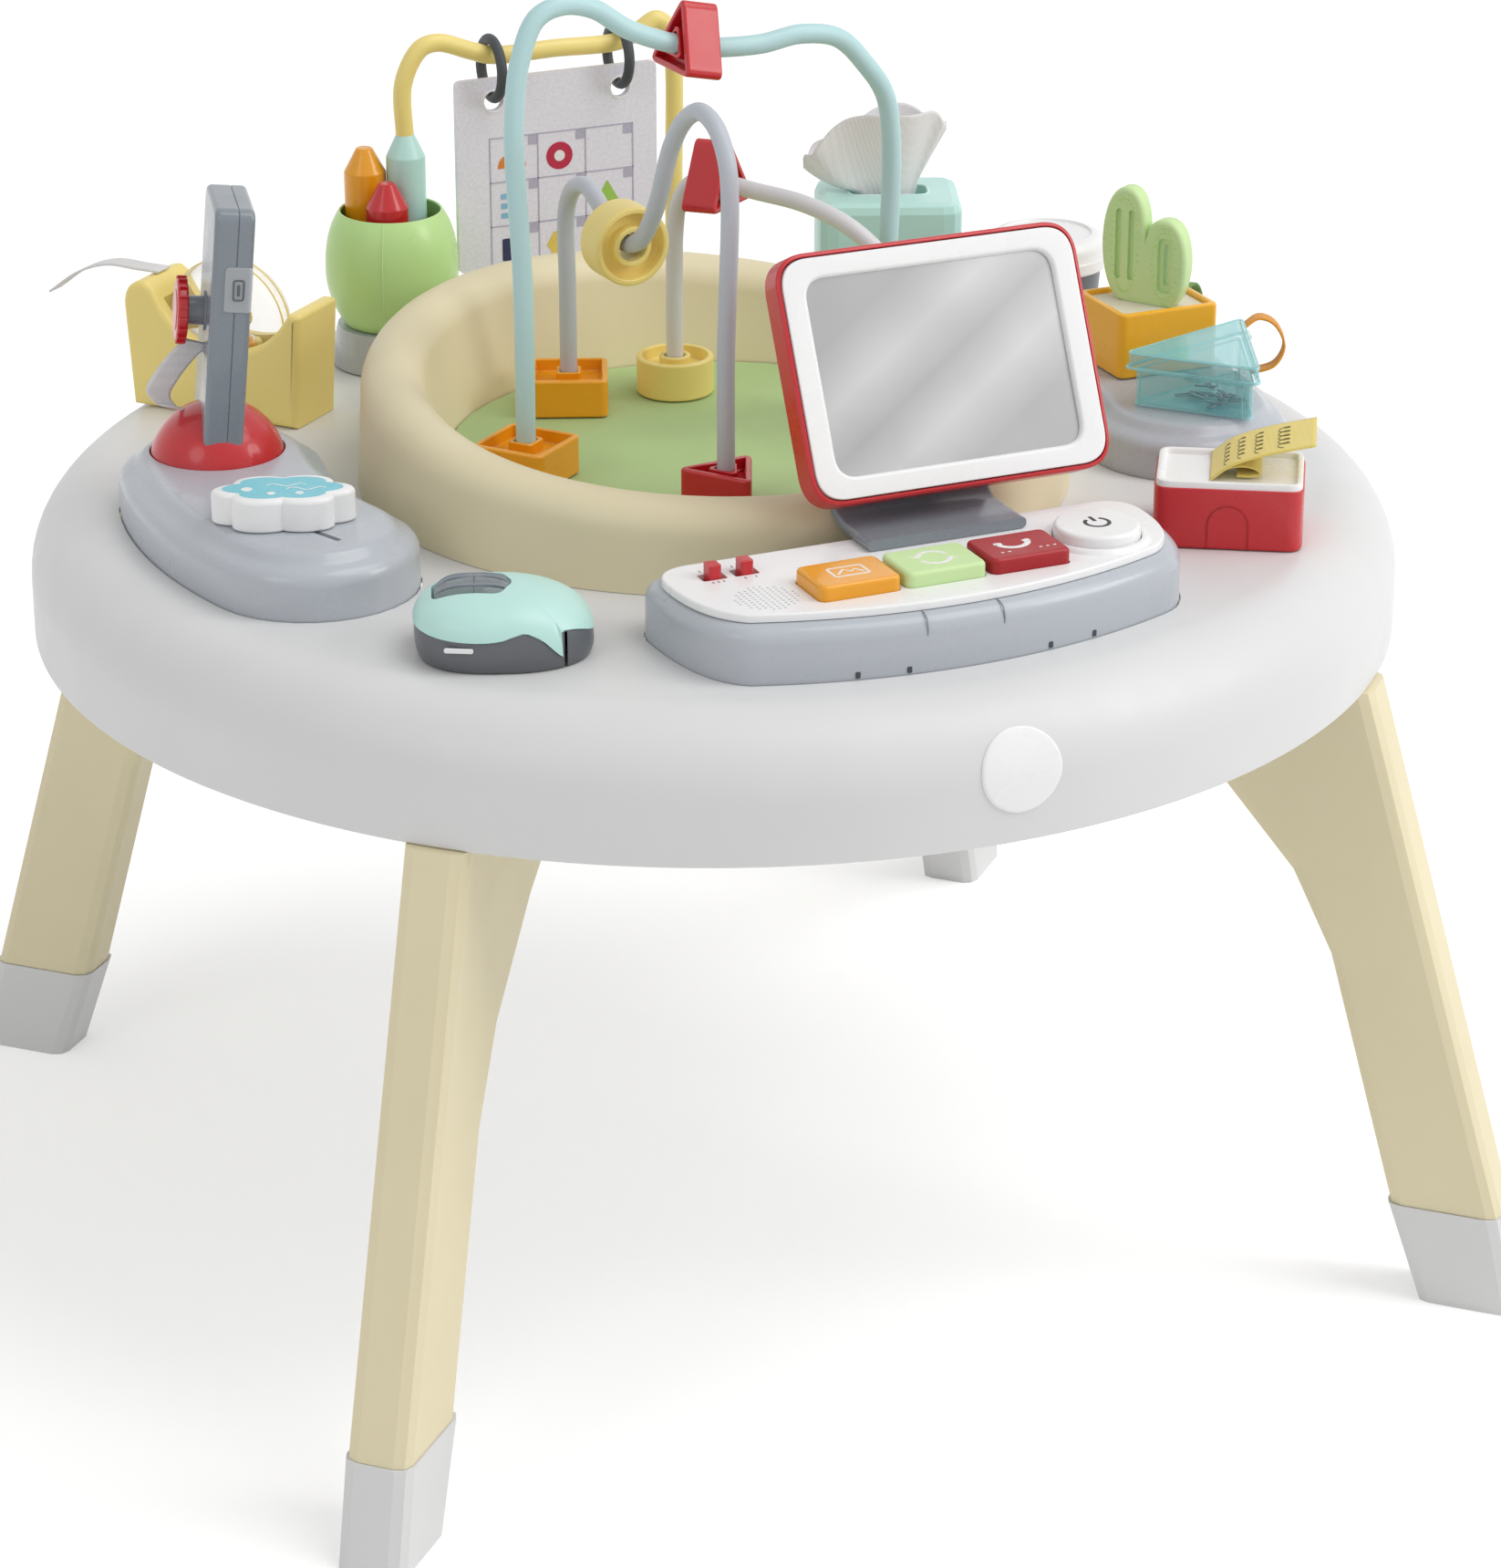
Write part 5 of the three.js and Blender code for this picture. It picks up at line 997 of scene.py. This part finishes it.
# Tissue box and tissue
def make_tissue():
    finish_node("tissue_box", mint)
    at = on_desk(206, 204, SEAT, -22)
    mouth = rectangle(49, 23, 7.5)
    lip = [Vector((p.x, p.y, 86)) for p in mouth]
    piece("tissue_box_lip", tube(lip, 0.9, 8, closed=True), pale_mint, "desk", at)
    rows, count = 28, 160
    hem = [(-52, 21), (-43, 33.5), (-30, 43), (-18, 49), (-6, 53), (10, 54), (24, 51), (35, 44)]
    hem = spline([(x, 0, z) for x, z in hem], 400)
    rings = [[] for _ in range(rows + 1)]
    for j in range(count):
        a = TURN * j / count
        share = (1 - math.cos(a)) / 2
        side = 1 if a < math.pi else -1
        end = hem[400 - int(400 * share)]
        depth = math.sin(a)
        for i, ring in enumerate(rings):
            t = i / rows
            spread = t ** (1 - 0.25 * share)
            wave = math.sin(6 * a + 1.2 * math.sin(2 * a)) * (0.8 + 2 * t) * abs(depth) ** 0.5
            x = (15 - 28 * share) + (end.x - 15 + 28 * share) * spread
            y = depth * (5 + 9 * t) + wave
            z = (end.z - 3 * side * t - 3) * t ** (1 + 0.9 * share ** 3) + 1.1 * t * wave
            ring.append(Vector((x, y, z * min(1, t * 6) + 80 + 6 * min(1, t * 8))))
    puff = loft(rings, caps=False)
    points, faces = puff
    area = 0
    for face in faces:
        a, b, c, d = (Vector(points[i]) for i in face)
        area += ((b - a).cross(c - a).length + (c - a).cross(d - a).length) / 2
    side = math.sqrt(area)
    cloth_piece("tissue_puff", puff, tissue_cloth, "desk", at, 0.5,
                ["tissue"])


# Coffee cup
def make_coffee():
    at = on_desk(268, 112)
    cup = [(0, SEAT), (28, SEAT), (29, 1.3), (31, 28), (31.4, 28.6), (31.6, 40), (33, 57.9), (0, 57.9)]
    piece("coffee_body", turned(cup), dark, "desk", at, ["coffee_cup"])
    lid = [(0, 58), (35.6, 58), (36.5, 59), (36.5, 65), (35.6, 66.4), (35.4, 70)]
    lid += bezier([(35.4, 70), (35.2, 76.5), (29, 77.6)], 8) + [(27, 77.9), (26, 76.6), (0, 76.4)]
    piece("coffee_lid", turned(lid), bright, "desk", at)
    nub = moved(slab(rectangle(5, 7, 2), 0, 5, 1.5), shift(34.5, -10, 60, -0.3))
    piece("coffee_nub", nub, dark, "desk", at)


# Keyboard
def icon_on(name, x, y, parts, ink, body, z=43.02):
    piece(name, merge(*parts), inks[ink], body, on_desk(x, y, z))


def stroke(points, width, closed=False):
    """A flat printed line, about an eighth as thick as it is wide."""
    rod = tube([(p[0], p[1], 0) for p in points], width / 2, 8, closed)
    return moved(rod, Matrix.Diagonal((1, 1, 0.12, 1)))


def make_keyboard():
    finish_node("sound_module", charcoal)
    here = TABLE_FACE
    rounding = [(9 - p.x, 21 + p.y) for p in arc(9, 0, 90, 8)]
    tray = stepped(keyboard_outline(0), [(0, -12)] + rounding + [(11, 30), (11.4, 29.4), (11.4, -8.5)])
    piece("keyboard_tray", tray, pale_grey, "desk", here, ["keyboard_base"])
    row_x, row_y, pitch = 0.5, -280, 48.5
    power_x, power_y = 101.5, -268
    switches = (("volume", -106), ("mode", -88))
    deck = piece("keyboard_panel", slab(keyboard_outline(9), 30.3, 34.8, 1.4, 0.4), bright, "desk", here,
                 ["keyboard_deck"])
    key_hole = slab(rectangle(46.3, 34.8, 5, 8), 20, 45)
    holes = [(key_hole, on_desk(row_x + pitch * i, row_y)) for i in (-1, 0, 1)]
    holes += [(slab(circle(23.4, 96), 20, 45), on_desk(power_x, power_y))]
    holes += [(slab(rectangle(13.8, 9.8, 1.7), 20, 45), on_desk(x, -240)) for _, x in switches]
    carve(deck, *holes)
    key = rectangle(45.5, 34, 5, 8)
    for i, (name, material) in enumerate((("orange", orange), ("green", leaf), ("red", deep_red))):
        block = slab(key, 28, 43, 2.4, 1, steps=6)
        piece(f"{name}_key_cap", block, material, f"{name}_key", on_desk(row_x + pitch * (i - 1), row_y),
              [f"key_{name}"])
    icon_on("orange_key_mark", row_x - pitch, row_y, [stroke(rectangle(19, 12, 1.5), 1.4, True),
            stroke([(-7, -3), (-2, 2.5), (1.5, -1), (4, 1.6), (7.5, -3)], 1.4)], "white", "orange_key")
    sweep = [stroke(arc(8.5, a + 18, a + 165, 20), 2.4) for a in (0, 180)]
    tips = []
    for angle, drop in ((165, -3), (345, 3)):
        x, y = 8.5 * math.cos(math.radians(angle)), 8.5 * math.sin(math.radians(angle))
        tips.append(stroke([(x - 3, y - drop), (x, y), (x + 3, y - drop)], 1.5))
    icon_on("green_key_mark", row_x, row_y, sweep + tips, "white", "green_key")
    earpiece = [stroke(arc(9, 200, 340, 20, (-2, 5)), 3.2), stroke([(-10.5, 2), (-10, 4.5)], 4.6),
                stroke([(6.5, 2), (6, 4.5)], 4.6)]
    digits = [stroke([(x, -8.5), (x + 1.6, -8.5)], 1.2) for x in (-14, -10, 8, 12, 16)]
    icon_on("red_key_mark", row_x + pitch, row_y, earpiece + digits, "white", "red_key")

    button = slab(circle(23, 96), 28, 43, 2.4, 1, steps=6)
    piece("power_cap", button, bright, "power", on_desk(power_x, power_y), ["power_button"])
    power = [stroke(arc(6.4, 125, 415, 30), 2.2), stroke([(0, 2), (0, 9)], 2.2)]
    icon_on("power_mark", power_x, power_y, power, "dark", "power")
    collar = [(23.6, 34), (23.6, 36.2), (24.4, 37), (26.4, 37), (27.6, 36.2), (29, 34.4), (29, 34), (23.6, 34)]
    piece("power_collar", turned(collar), bright, "desk", on_desk(power_x, power_y))
    for name, x in switches:
        finish_node(f"{name}_switch", red)
        knob = slab(rectangle(6.6, 8.6, 1.6), 38, 42.2, 1.4, 0)
        piece(f"{name}_knob", knob, red, name, on_desk(x, -240))
    marks = [moved(stroke([(0, 0), (0, tall)], 0.6), shift(x, y))
             for tall, y in ((2.4, -249.5), (2.8, -232)) for x in (-109, -106, -103, -91, -85)]
    piece("switch_marks", merge(*marks), inks["dark"], "desk", on_desk(0, 0, 34.85))
    dots = [moved(slab(circle(0.8, 12), 0, 0.06), shift(-93 + 3.2 * i, -279 + 3.2 * j))
            for i in range(-5, 6) for j in range(-5, 6) if i * i + j * j <= 27]
    piece("speaker_holes", merge(*dots), inks["speaker"], "desk", on_desk(0, 0, 34.8))
    slots = []
    for angle in (-100.8, -96, -81.7, -76.7):
        notch = moved(slab(rectangle(2.6, 3.4, 0.6, 2), 0, 0.5), Matrix.Rotation(QUARTER, 4, "X"))
        x, y = arc(325.8, angle, angle, 1)[0]
        slots.append(moved(notch, shift(x, y, 2.6, math.radians(angle + 90))))
    piece("base_notches", merge(*slots), charcoal, "desk", here)
    fall = ((317.4, 30.1), (320.5, 30.1), (324.3, 28.3), (326.1, 24), (326.1, 20))
    seams = [tube([(*arc(r, angle, angle, 1)[0], z) for r, z in fall], 0.35, 6) for angle in (-94.3, -86.7)]
    piece("base_tab_seams", merge(*seams), slate, "desk", here)


# Monitor and stand
def strip(path, width, thickness):
    """A thick strip along a path in the YZ plane; its width is a function of its height."""
    rings = []
    for i, point in enumerate(path):
        way = (path[min(i + 1, len(path) - 1)] - path[max(i - 1, 0)]).normalized()
        section = rectangle(width(point.y), thickness, 0.48 * thickness, 4)
        rings.append([Vector((p.x, point.x - way.y * p.y, point.y + way.x * p.y)) for p in section])
    return loft(rings)


def stand_width(height):
    """The stand is broad at its foot and narrows towards the hinge."""
    return 56 + 36 * (1 - min(1, max(0, (height - 56) / 20)) ** 1.5)


def make_monitor():
    at = on_desk(47, -197, 117) @ Matrix.Rotation(math.radians(64.5), 4, "X")
    edge = [(2 - p.x, 2 - p.y) for p in arc(2, 90, 0, 6)]
    steps = [(i, z - 18) for i, z in edge] + [(i, -z) for i, z in reversed(edge)]
    steps += [(2.2, -0.1), (2.4, -0.4), (2.4, -6)]
    ear = [Vector((-7, -16)), Vector((-23, -16))] + arc(8, 180, 360, 20, (-15, -28))
    ears = [moved(slab(ear, x - 3.5, x + 3.5, 1), FACING_X) for x in (-50.8, 12.8)]
    piece("monitor_casing", merge(stepped(rectangle(175.5, 133.5, 19, 14), steps), *ears), red, "monitor", at,
          ["monitor_shell"])
    outer, inner = rectangle(169.5, 127.5, 16.5, 14), rectangle(143.5, 105, 12, 14)
    rings = [level(inset(outer, i), z) for i, z in ((0, -5.7), (0, 0), (0.3, 0.6), (1, 0.8))]
    lip = ((-2.2, 0.8), (-1, 0.2), (-0.2, -1), (0, -2.2), (0, -5.7))
    rings += [level(inset(inner, i), z) for i, z in lip]
    piece("monitor_frame", loft(rings, closed=True), bright, "monitor", at, ["monitor_bezel"])
    glass = slab(rectangle(149, 110.5, 14, 14), -4.5, -2.3)
    piece("monitor_glass", glass, mirror, "monitor", at, ["monitor_mirror"])

    path = [Vector((-241, 38.2)), Vector((-225, 38.1)), Vector((-209, 38.1))]
    path += bezier([(-209, 38.1), (-196, 38.1), (-188.5, 53)], 14)
    path += bezier([(-188.5, 53), (-180, 64), (-178.2, 91)], 14)
    barrel = turned([(0, -28), (6, -28), (6, 28), (0, 28)], 40)
    pin = turned([(0, -34), (3.5, -34), (3.5, 34), (0, 34)], 32)
    axle = moved(merge(barrel, pin), Matrix.Translation((0, -178.2, 91.4)) @ Matrix.Rotation(QUARTER, 4, "Y"))
    piece("monitor_foot", merge(strip(path, stand_width, 6), axle), slate, "desk", on_desk(28, 0), ["monitor_stand"])


# Mouse
def make_mouse():
    at = on_desk(-208, -208, SEAT, -20)
    outline = []
    for p in circle(1, 120):
        x, y = (math.copysign(abs(v) ** 0.78, v) for v in p)
        outline.append(Vector((46.8 * x, 37.8 * y * (1 - 0.12 * max(0, x) ** 2))))
    low_edge = [(-47, 19), (-25, 17), (-2, 17.5), (12, 21), (20, 17), (27, 8.5), (30, 6.5), (31, 19)]
    low_edge = spline(low_edge + [(40, 18), (47, 13)], 188)

    def parting(x):
        return next((p.y for p in low_edge if p.x >= x), 13)

    def skin(p, z, draw):
        shrink = (1 - (max(0, z - 5) / 32.5) ** 3.4) ** 0.5 * draw * (1 - 0.05 * max(0, 1 - z / 7) ** 2)
        return Vector((p.x * shrink - 6 * (z / 37) ** 2, p.y * shrink, z))

    shares = [1 - (1 - k / 24) ** 1.6 for k in range(25)]
    base_rings = [[skin(p, max(parting(p.x) * k / 14, 0.2), 0.98) for p in outline] for k in range(15)]
    lows = [parting(p.x) + 0.4 for p in outline]
    cover_rings = [[skin(p, low + (36.8 - low) * share, 1) for p, low in zip(outline, lows)]
                   for share in shares]
    base = piece("mouse_bottom", loft(base_rings), dark, "desk", at, ["mouse_base"])
    cover = piece("mouse_cover", loft(cover_rings), mint, "desk", at)
    half = 21
    lie = Matrix.Translation((-15, 0, 22)) @ Matrix.Rotation(QUARTER, 4, "Y")
    barrel = [(0, -half - 0.8), (15, -half - 0.8), (18.8, -half / 2)]
    barrel += [(18.8, half / 2), (15, half + 0.8), (0, half + 0.8)]
    gap = moved(slab(rectangle(1.6, 90, 0.6), -1, 19), shift(30.4))
    carve(base, (moved(turned(barrel, 64), lie), at), (gap, at))
    opening = rounded([(-37, -11), (-2, -15.5), (5, 0), (-2, 15.5), (-37, 11)], 5)
    carve(cover, (slab(opening, 12, 50), at))
    profile = [(0, -half), (9, -half)]
    profile += bezier([(9, -half), (20, -half + 2), (18.6, 0), (20, half - 2), (9, half)], 24)
    profile += [(0, half)]
    piece("roller_drum", moved(turned(profile, 64), lie), glassy, "roller", at, ["mouse_roller"])
    ways = [(s, 17.9 - 6 * s ** 4) for s in [k / 10 - 1 for k in range(21)]]
    ribs = []
    for a in turns(14):
        ribs.append(tube([(r * math.cos(a), r * math.sin(a), s * half * 0.93) for s, r in ways], 0.95, 8))
    piece("roller_ribs", moved(merge(*ribs), lie), slate, "roller", at)
    waist = [(17.9 * p.x, 17.9 * p.y, 0) for p in circle(1, 48)]
    piece("roller_seam", moved(tube(waist, 0.5, 6, closed=True), lie), dark, "roller", at)
    window = moved(slab(rectangle(15, 2.6, 1.2), -0.6, 0.5, 0.3), Matrix.Rotation(QUARTER, 4, "X"))
    spot = Vector((-24, -35.6, 13.2))
    piece("mouse_light_slot", moved(window, shift(*spot, -0.16)), bright, "desk", at)


# Planter, teether and clip box
def make_planter():
    make_plinth("side_plinth", (273, 57, -16.5, 1.5), (-12, 30), "side_base")
    at = on_desk(274, -4, 30.3)
    steps = [(2, 0), (0.6, 0.6), (0, 2), (0, 37), (0.6, 38.4), (2, 39), (3.2, 38.8), (4, 38), (4, 35)]
    pot = loft([level(rectangle(64 - 2 * i, 56 - 2 * i, 5 - 0.5 * i, 8), z) for i, z in steps])
    top = piece("planter_pot", pot, amber, "desk", at, ["planter_box"])
    ground = slab(rectangle(55.6, 47.6, 3, 8), 34, 36, 0.5, 0)
    ground = piece("planter_soil", ground, soil, "desk", at)
    gap = moved(slab(rectangle(33, 13, 2.5), 13.5, 45), shift(turn=math.radians(-56)))
    carve(top, (gap, at))
    carve(ground, (gap, at))

    plant = on_desk(274, -4, 44.9, -56)
    outline = [Vector((-15, 0)), Vector((15, 0)), Vector((15, 20))]
    outline += bezier([(15, 20), (30, 26), (31, 73), (13, 73)], 24)
    outline += bezier([(13, 73), (1, 73), (0, 60)], 10)
    outline += bezier([(0, 60), (0, 89), (-13, 89)], 14)
    outline += bezier([(-13, 89), (-33.5, 89), (-33.5, 26), (-15, 20)], 30)[:-1] + [Vector((-15, 20))]
    body = moved(slab(outline, -6, 6, 3, steps=5), FACING_Y)
    body = piece("teether_leaf", body, leaf, "teething_plant", plant, ["teether"])
    cuts = [(rectangle(3.2, 25, 1.6, 6), 13, 46, -20, 20)]
    for low, high in ((-20, -3.6), (3.6, 20)):
        cuts += [(rectangle(3.8, 42, 1.9, 8), x, 55, low, high) for x in (-17.4, -9)]
        cuts += [(rectangle(9, 33, 4.4, 8), 13, 46, low, high)]
    tools = [moved(slab(shape, low, high), shift(x, 0, z) @ FACING_Y) for shape, x, z, low, high in cuts]
    carve(body, *[(tool, plant) for tool in tools])
    dots = []
    nub = [(0, -0.4), (0.8, -0.2), (0.9, 0), (0.6, 0.3), (0, 0.4)]
    for x0, z0, reach, rise, count in ((-13, 55, 8.8, 28, 38), (13, 46, 8.2, 20, 30), (13, 46, 6.4, 23, 24)):
        for a in turns(count):
            for side in (-1, 1):
                here = Matrix.Translation((x0 + reach * math.cos(a), 6 * side, z0 + rise * math.sin(a)))
                dots.append(moved(turned(nub, 8), here @ Matrix.Rotation(-side * QUARTER, 4, "X")))
    piece("teether_dots", merge(*dots), green, "teething_plant", plant)

    points = [(307, 22, 52), (312, 25, 60), (320, 30, 62), (326, 33, 54), (325, 33, 42), (318, 29, 33)]
    make_loop("planter_loop", points, (0.75, -0.66, 0), green_web, "desk")


def make_clip_box():
    corners = [Vector((227, -73)), Vector((276, -127)), Vector((312, -46))]
    middle = (corners[0] + corners[1] + corners[2]) / 3

    def outline(grow):
        spokes = [corner - middle for corner in corners]
        return rounded([spoke.normalized() * (spoke.length + 2 * grow) for spoke in spokes], 7, 8)

    at = on_desk(middle.x, middle.y, 30.3)
    tub = [(1.5, 0), (0.4, 0.4), (0, 1.5), (0, 22.6), (1.6, 22.6), (1.6, 2), (2.4, 1.4)]
    piece("clip_box_body", stepped(outline(0), tub), teal, "clips", at, ["clip_box"])
    hood = [(0, 22.4), (0, 30.5), (0.5, 31.6), (1.6, 32), (2.6, 30.6), (1.6, 29.8), (1.6, 22.4)]
    roof = slab(inset(outline(2.5), 1.7), 30.7, 31.9)
    sides = loft([level(inset(outline(2.5), amount), z) for amount, z in hood], closed=True)
    piece("clip_box_lid", merge(sides, roof), teal, "clips", at)
    rims = [tube([(p.x, p.y, z) for p in outline(grow)], radius, 8, closed=True)
            for grow, z, radius in ((2.9, 23, 0.9), (0.2, 20.4, 0.5), (2.3, 31.4, 0.6), (0, 1, 0.6))]
    posts = [tube([(p.x, p.y, 1), (p.x, p.y, 22)], 0.6, 8) for p in outline(0)[::9]]
    piece("clip_box_rims", merge(*rims, *posts), teal_edge, "clips", at)
    chance = random.Random(3)
    bits = []
    for _ in range(16):
        x, y = chance.uniform(-14, 12), chance.uniform(-20, 8)
        loop = rectangle(chance.uniform(9, 12), 3.4, 1.6, 4)
        lay = shift(x, y, chance.uniform(2.8, 6.5), chance.uniform(0, 3))
        lay = lay @ Matrix.Rotation(chance.uniform(-0.4, 0.4), 4, "X")
        bits.append(moved(tube([(p.x, p.y, 0) for p in loop], 0.55, 6, closed=True), lay))
    piece("paper_clips", merge(*bits), slate, "clips", at)
    front = (corners[0] + corners[1]) / 2 - middle
    angle = math.atan2(corners[1].y - corners[0].y, corners[1].x - corners[0].x)
    latch = moved(slab(rectangle(9, 7, 1.5), 0, 2.2, 0.7, 0), Matrix.Rotation(QUARTER, 4, "X"))
    latch = moved(latch, shift(front.x, front.y, 22, angle))
    piece("clip_box_latch", latch, teal, "clips", at)
    hinge_at = corners[2] - middle
    knuckle = moved(tube([(-4, 0, 0), (4, 0, 0)], 2.2, 12), shift(hinge_at.x + 2, hinge_at.y - 6, 24, 1.2))
    piece("clip_box_hinge", knuckle, teal, "clips", at)
    points = [(313, -50, 60), (322, -50, 64), (331, -53, 60), (335, -58, 48), (328, -60, 38), (315, -54, 33)]
    make_loop("clip_box_loop", points, (0.45, 0.89, 0), orange_web, "clips")


# Note box and note sheet
def make_note_box():
    at = on_desk(216, -207, SEAT, -31)
    outline = rectangle(81, 60, 9, 8)
    piece("note_box_body", slab(outline, 0, 34.4, 0.6, 2), red, "desk", at, ["note_box"])
    tray = [(1, 34.4), (1, 37), (1.4, 37.8), (2.2, 38), (3.4, 38), (4.1, 37.6), (4.5, 36.9), (4.9, 34.7)]
    piece("note_box_tray", stepped(outline, tray), bright, "desk", at)
    arch = [Vector((11, 1))] + arc(11, 0, 180, 24, (0, 14)) + [Vector((-11, 1))]
    piece("note_box_arch", tube([(p.x, -29.95, p.y) for p in arch], 0.55, 8), deep_red, "desk", at)

    root = at @ shift(-10.5, 4, 36)
    path = spline([(0, 0, 0), (11, 0, 8.5), (28, 0, 15), (56, 0, 22)], 40)
    cloth_piece("note_sheet_top", band(path, 44, (0, 1, 0.03), 16), note_cloth, "note_flap", root, 1.0,
                ["note_sheet"])
    fold = spline([(1, 0, 0.2), (8, 0, 4.2), (16, 0, 6.2), (24, 0, 5), (27, 0, 2.2), (22, 0, 0.6), (14, 0, 0.6)], 40)
    cloth_piece("note_sheet_under", band(fold, 34, (0, 1, 0), 10), note_cloth, "note_flap", root, 1.0)
    loops = []
    for row in range(4):
        line = []
        for k in range(121):
            s = k / 120
            along = (0.26 + 0.18 * row + 0.036 * math.sin(TURN * 5 * s)) * 40
            y = 15 - 30 * s - 2 * math.cos(TURN * 5 * s)
            i = int(along)
            here = path[i].lerp(path[i + 1], along - i)
            line.append((here.x, y, here.z + 0.03 * y + 0.7))
        loops.append(tube(line, 0.22, 6))
    piece("note_scribble", merge(*loops), inks["scribble"], "note_flap", root)


make_camera()
make_light()
make_floor()
make_table()
make_maze()
make_wires()
make_beads()
make_phone()
make_strap()
make_cloud()
make_tape()
make_cup()
make_calendar()
make_tissue()
make_coffee()
make_keyboard()
make_monitor()
make_mouse()
make_planter()
make_clip_box()
make_note_box()
bpy.context.scene.view_settings.view_transform = "Standard"
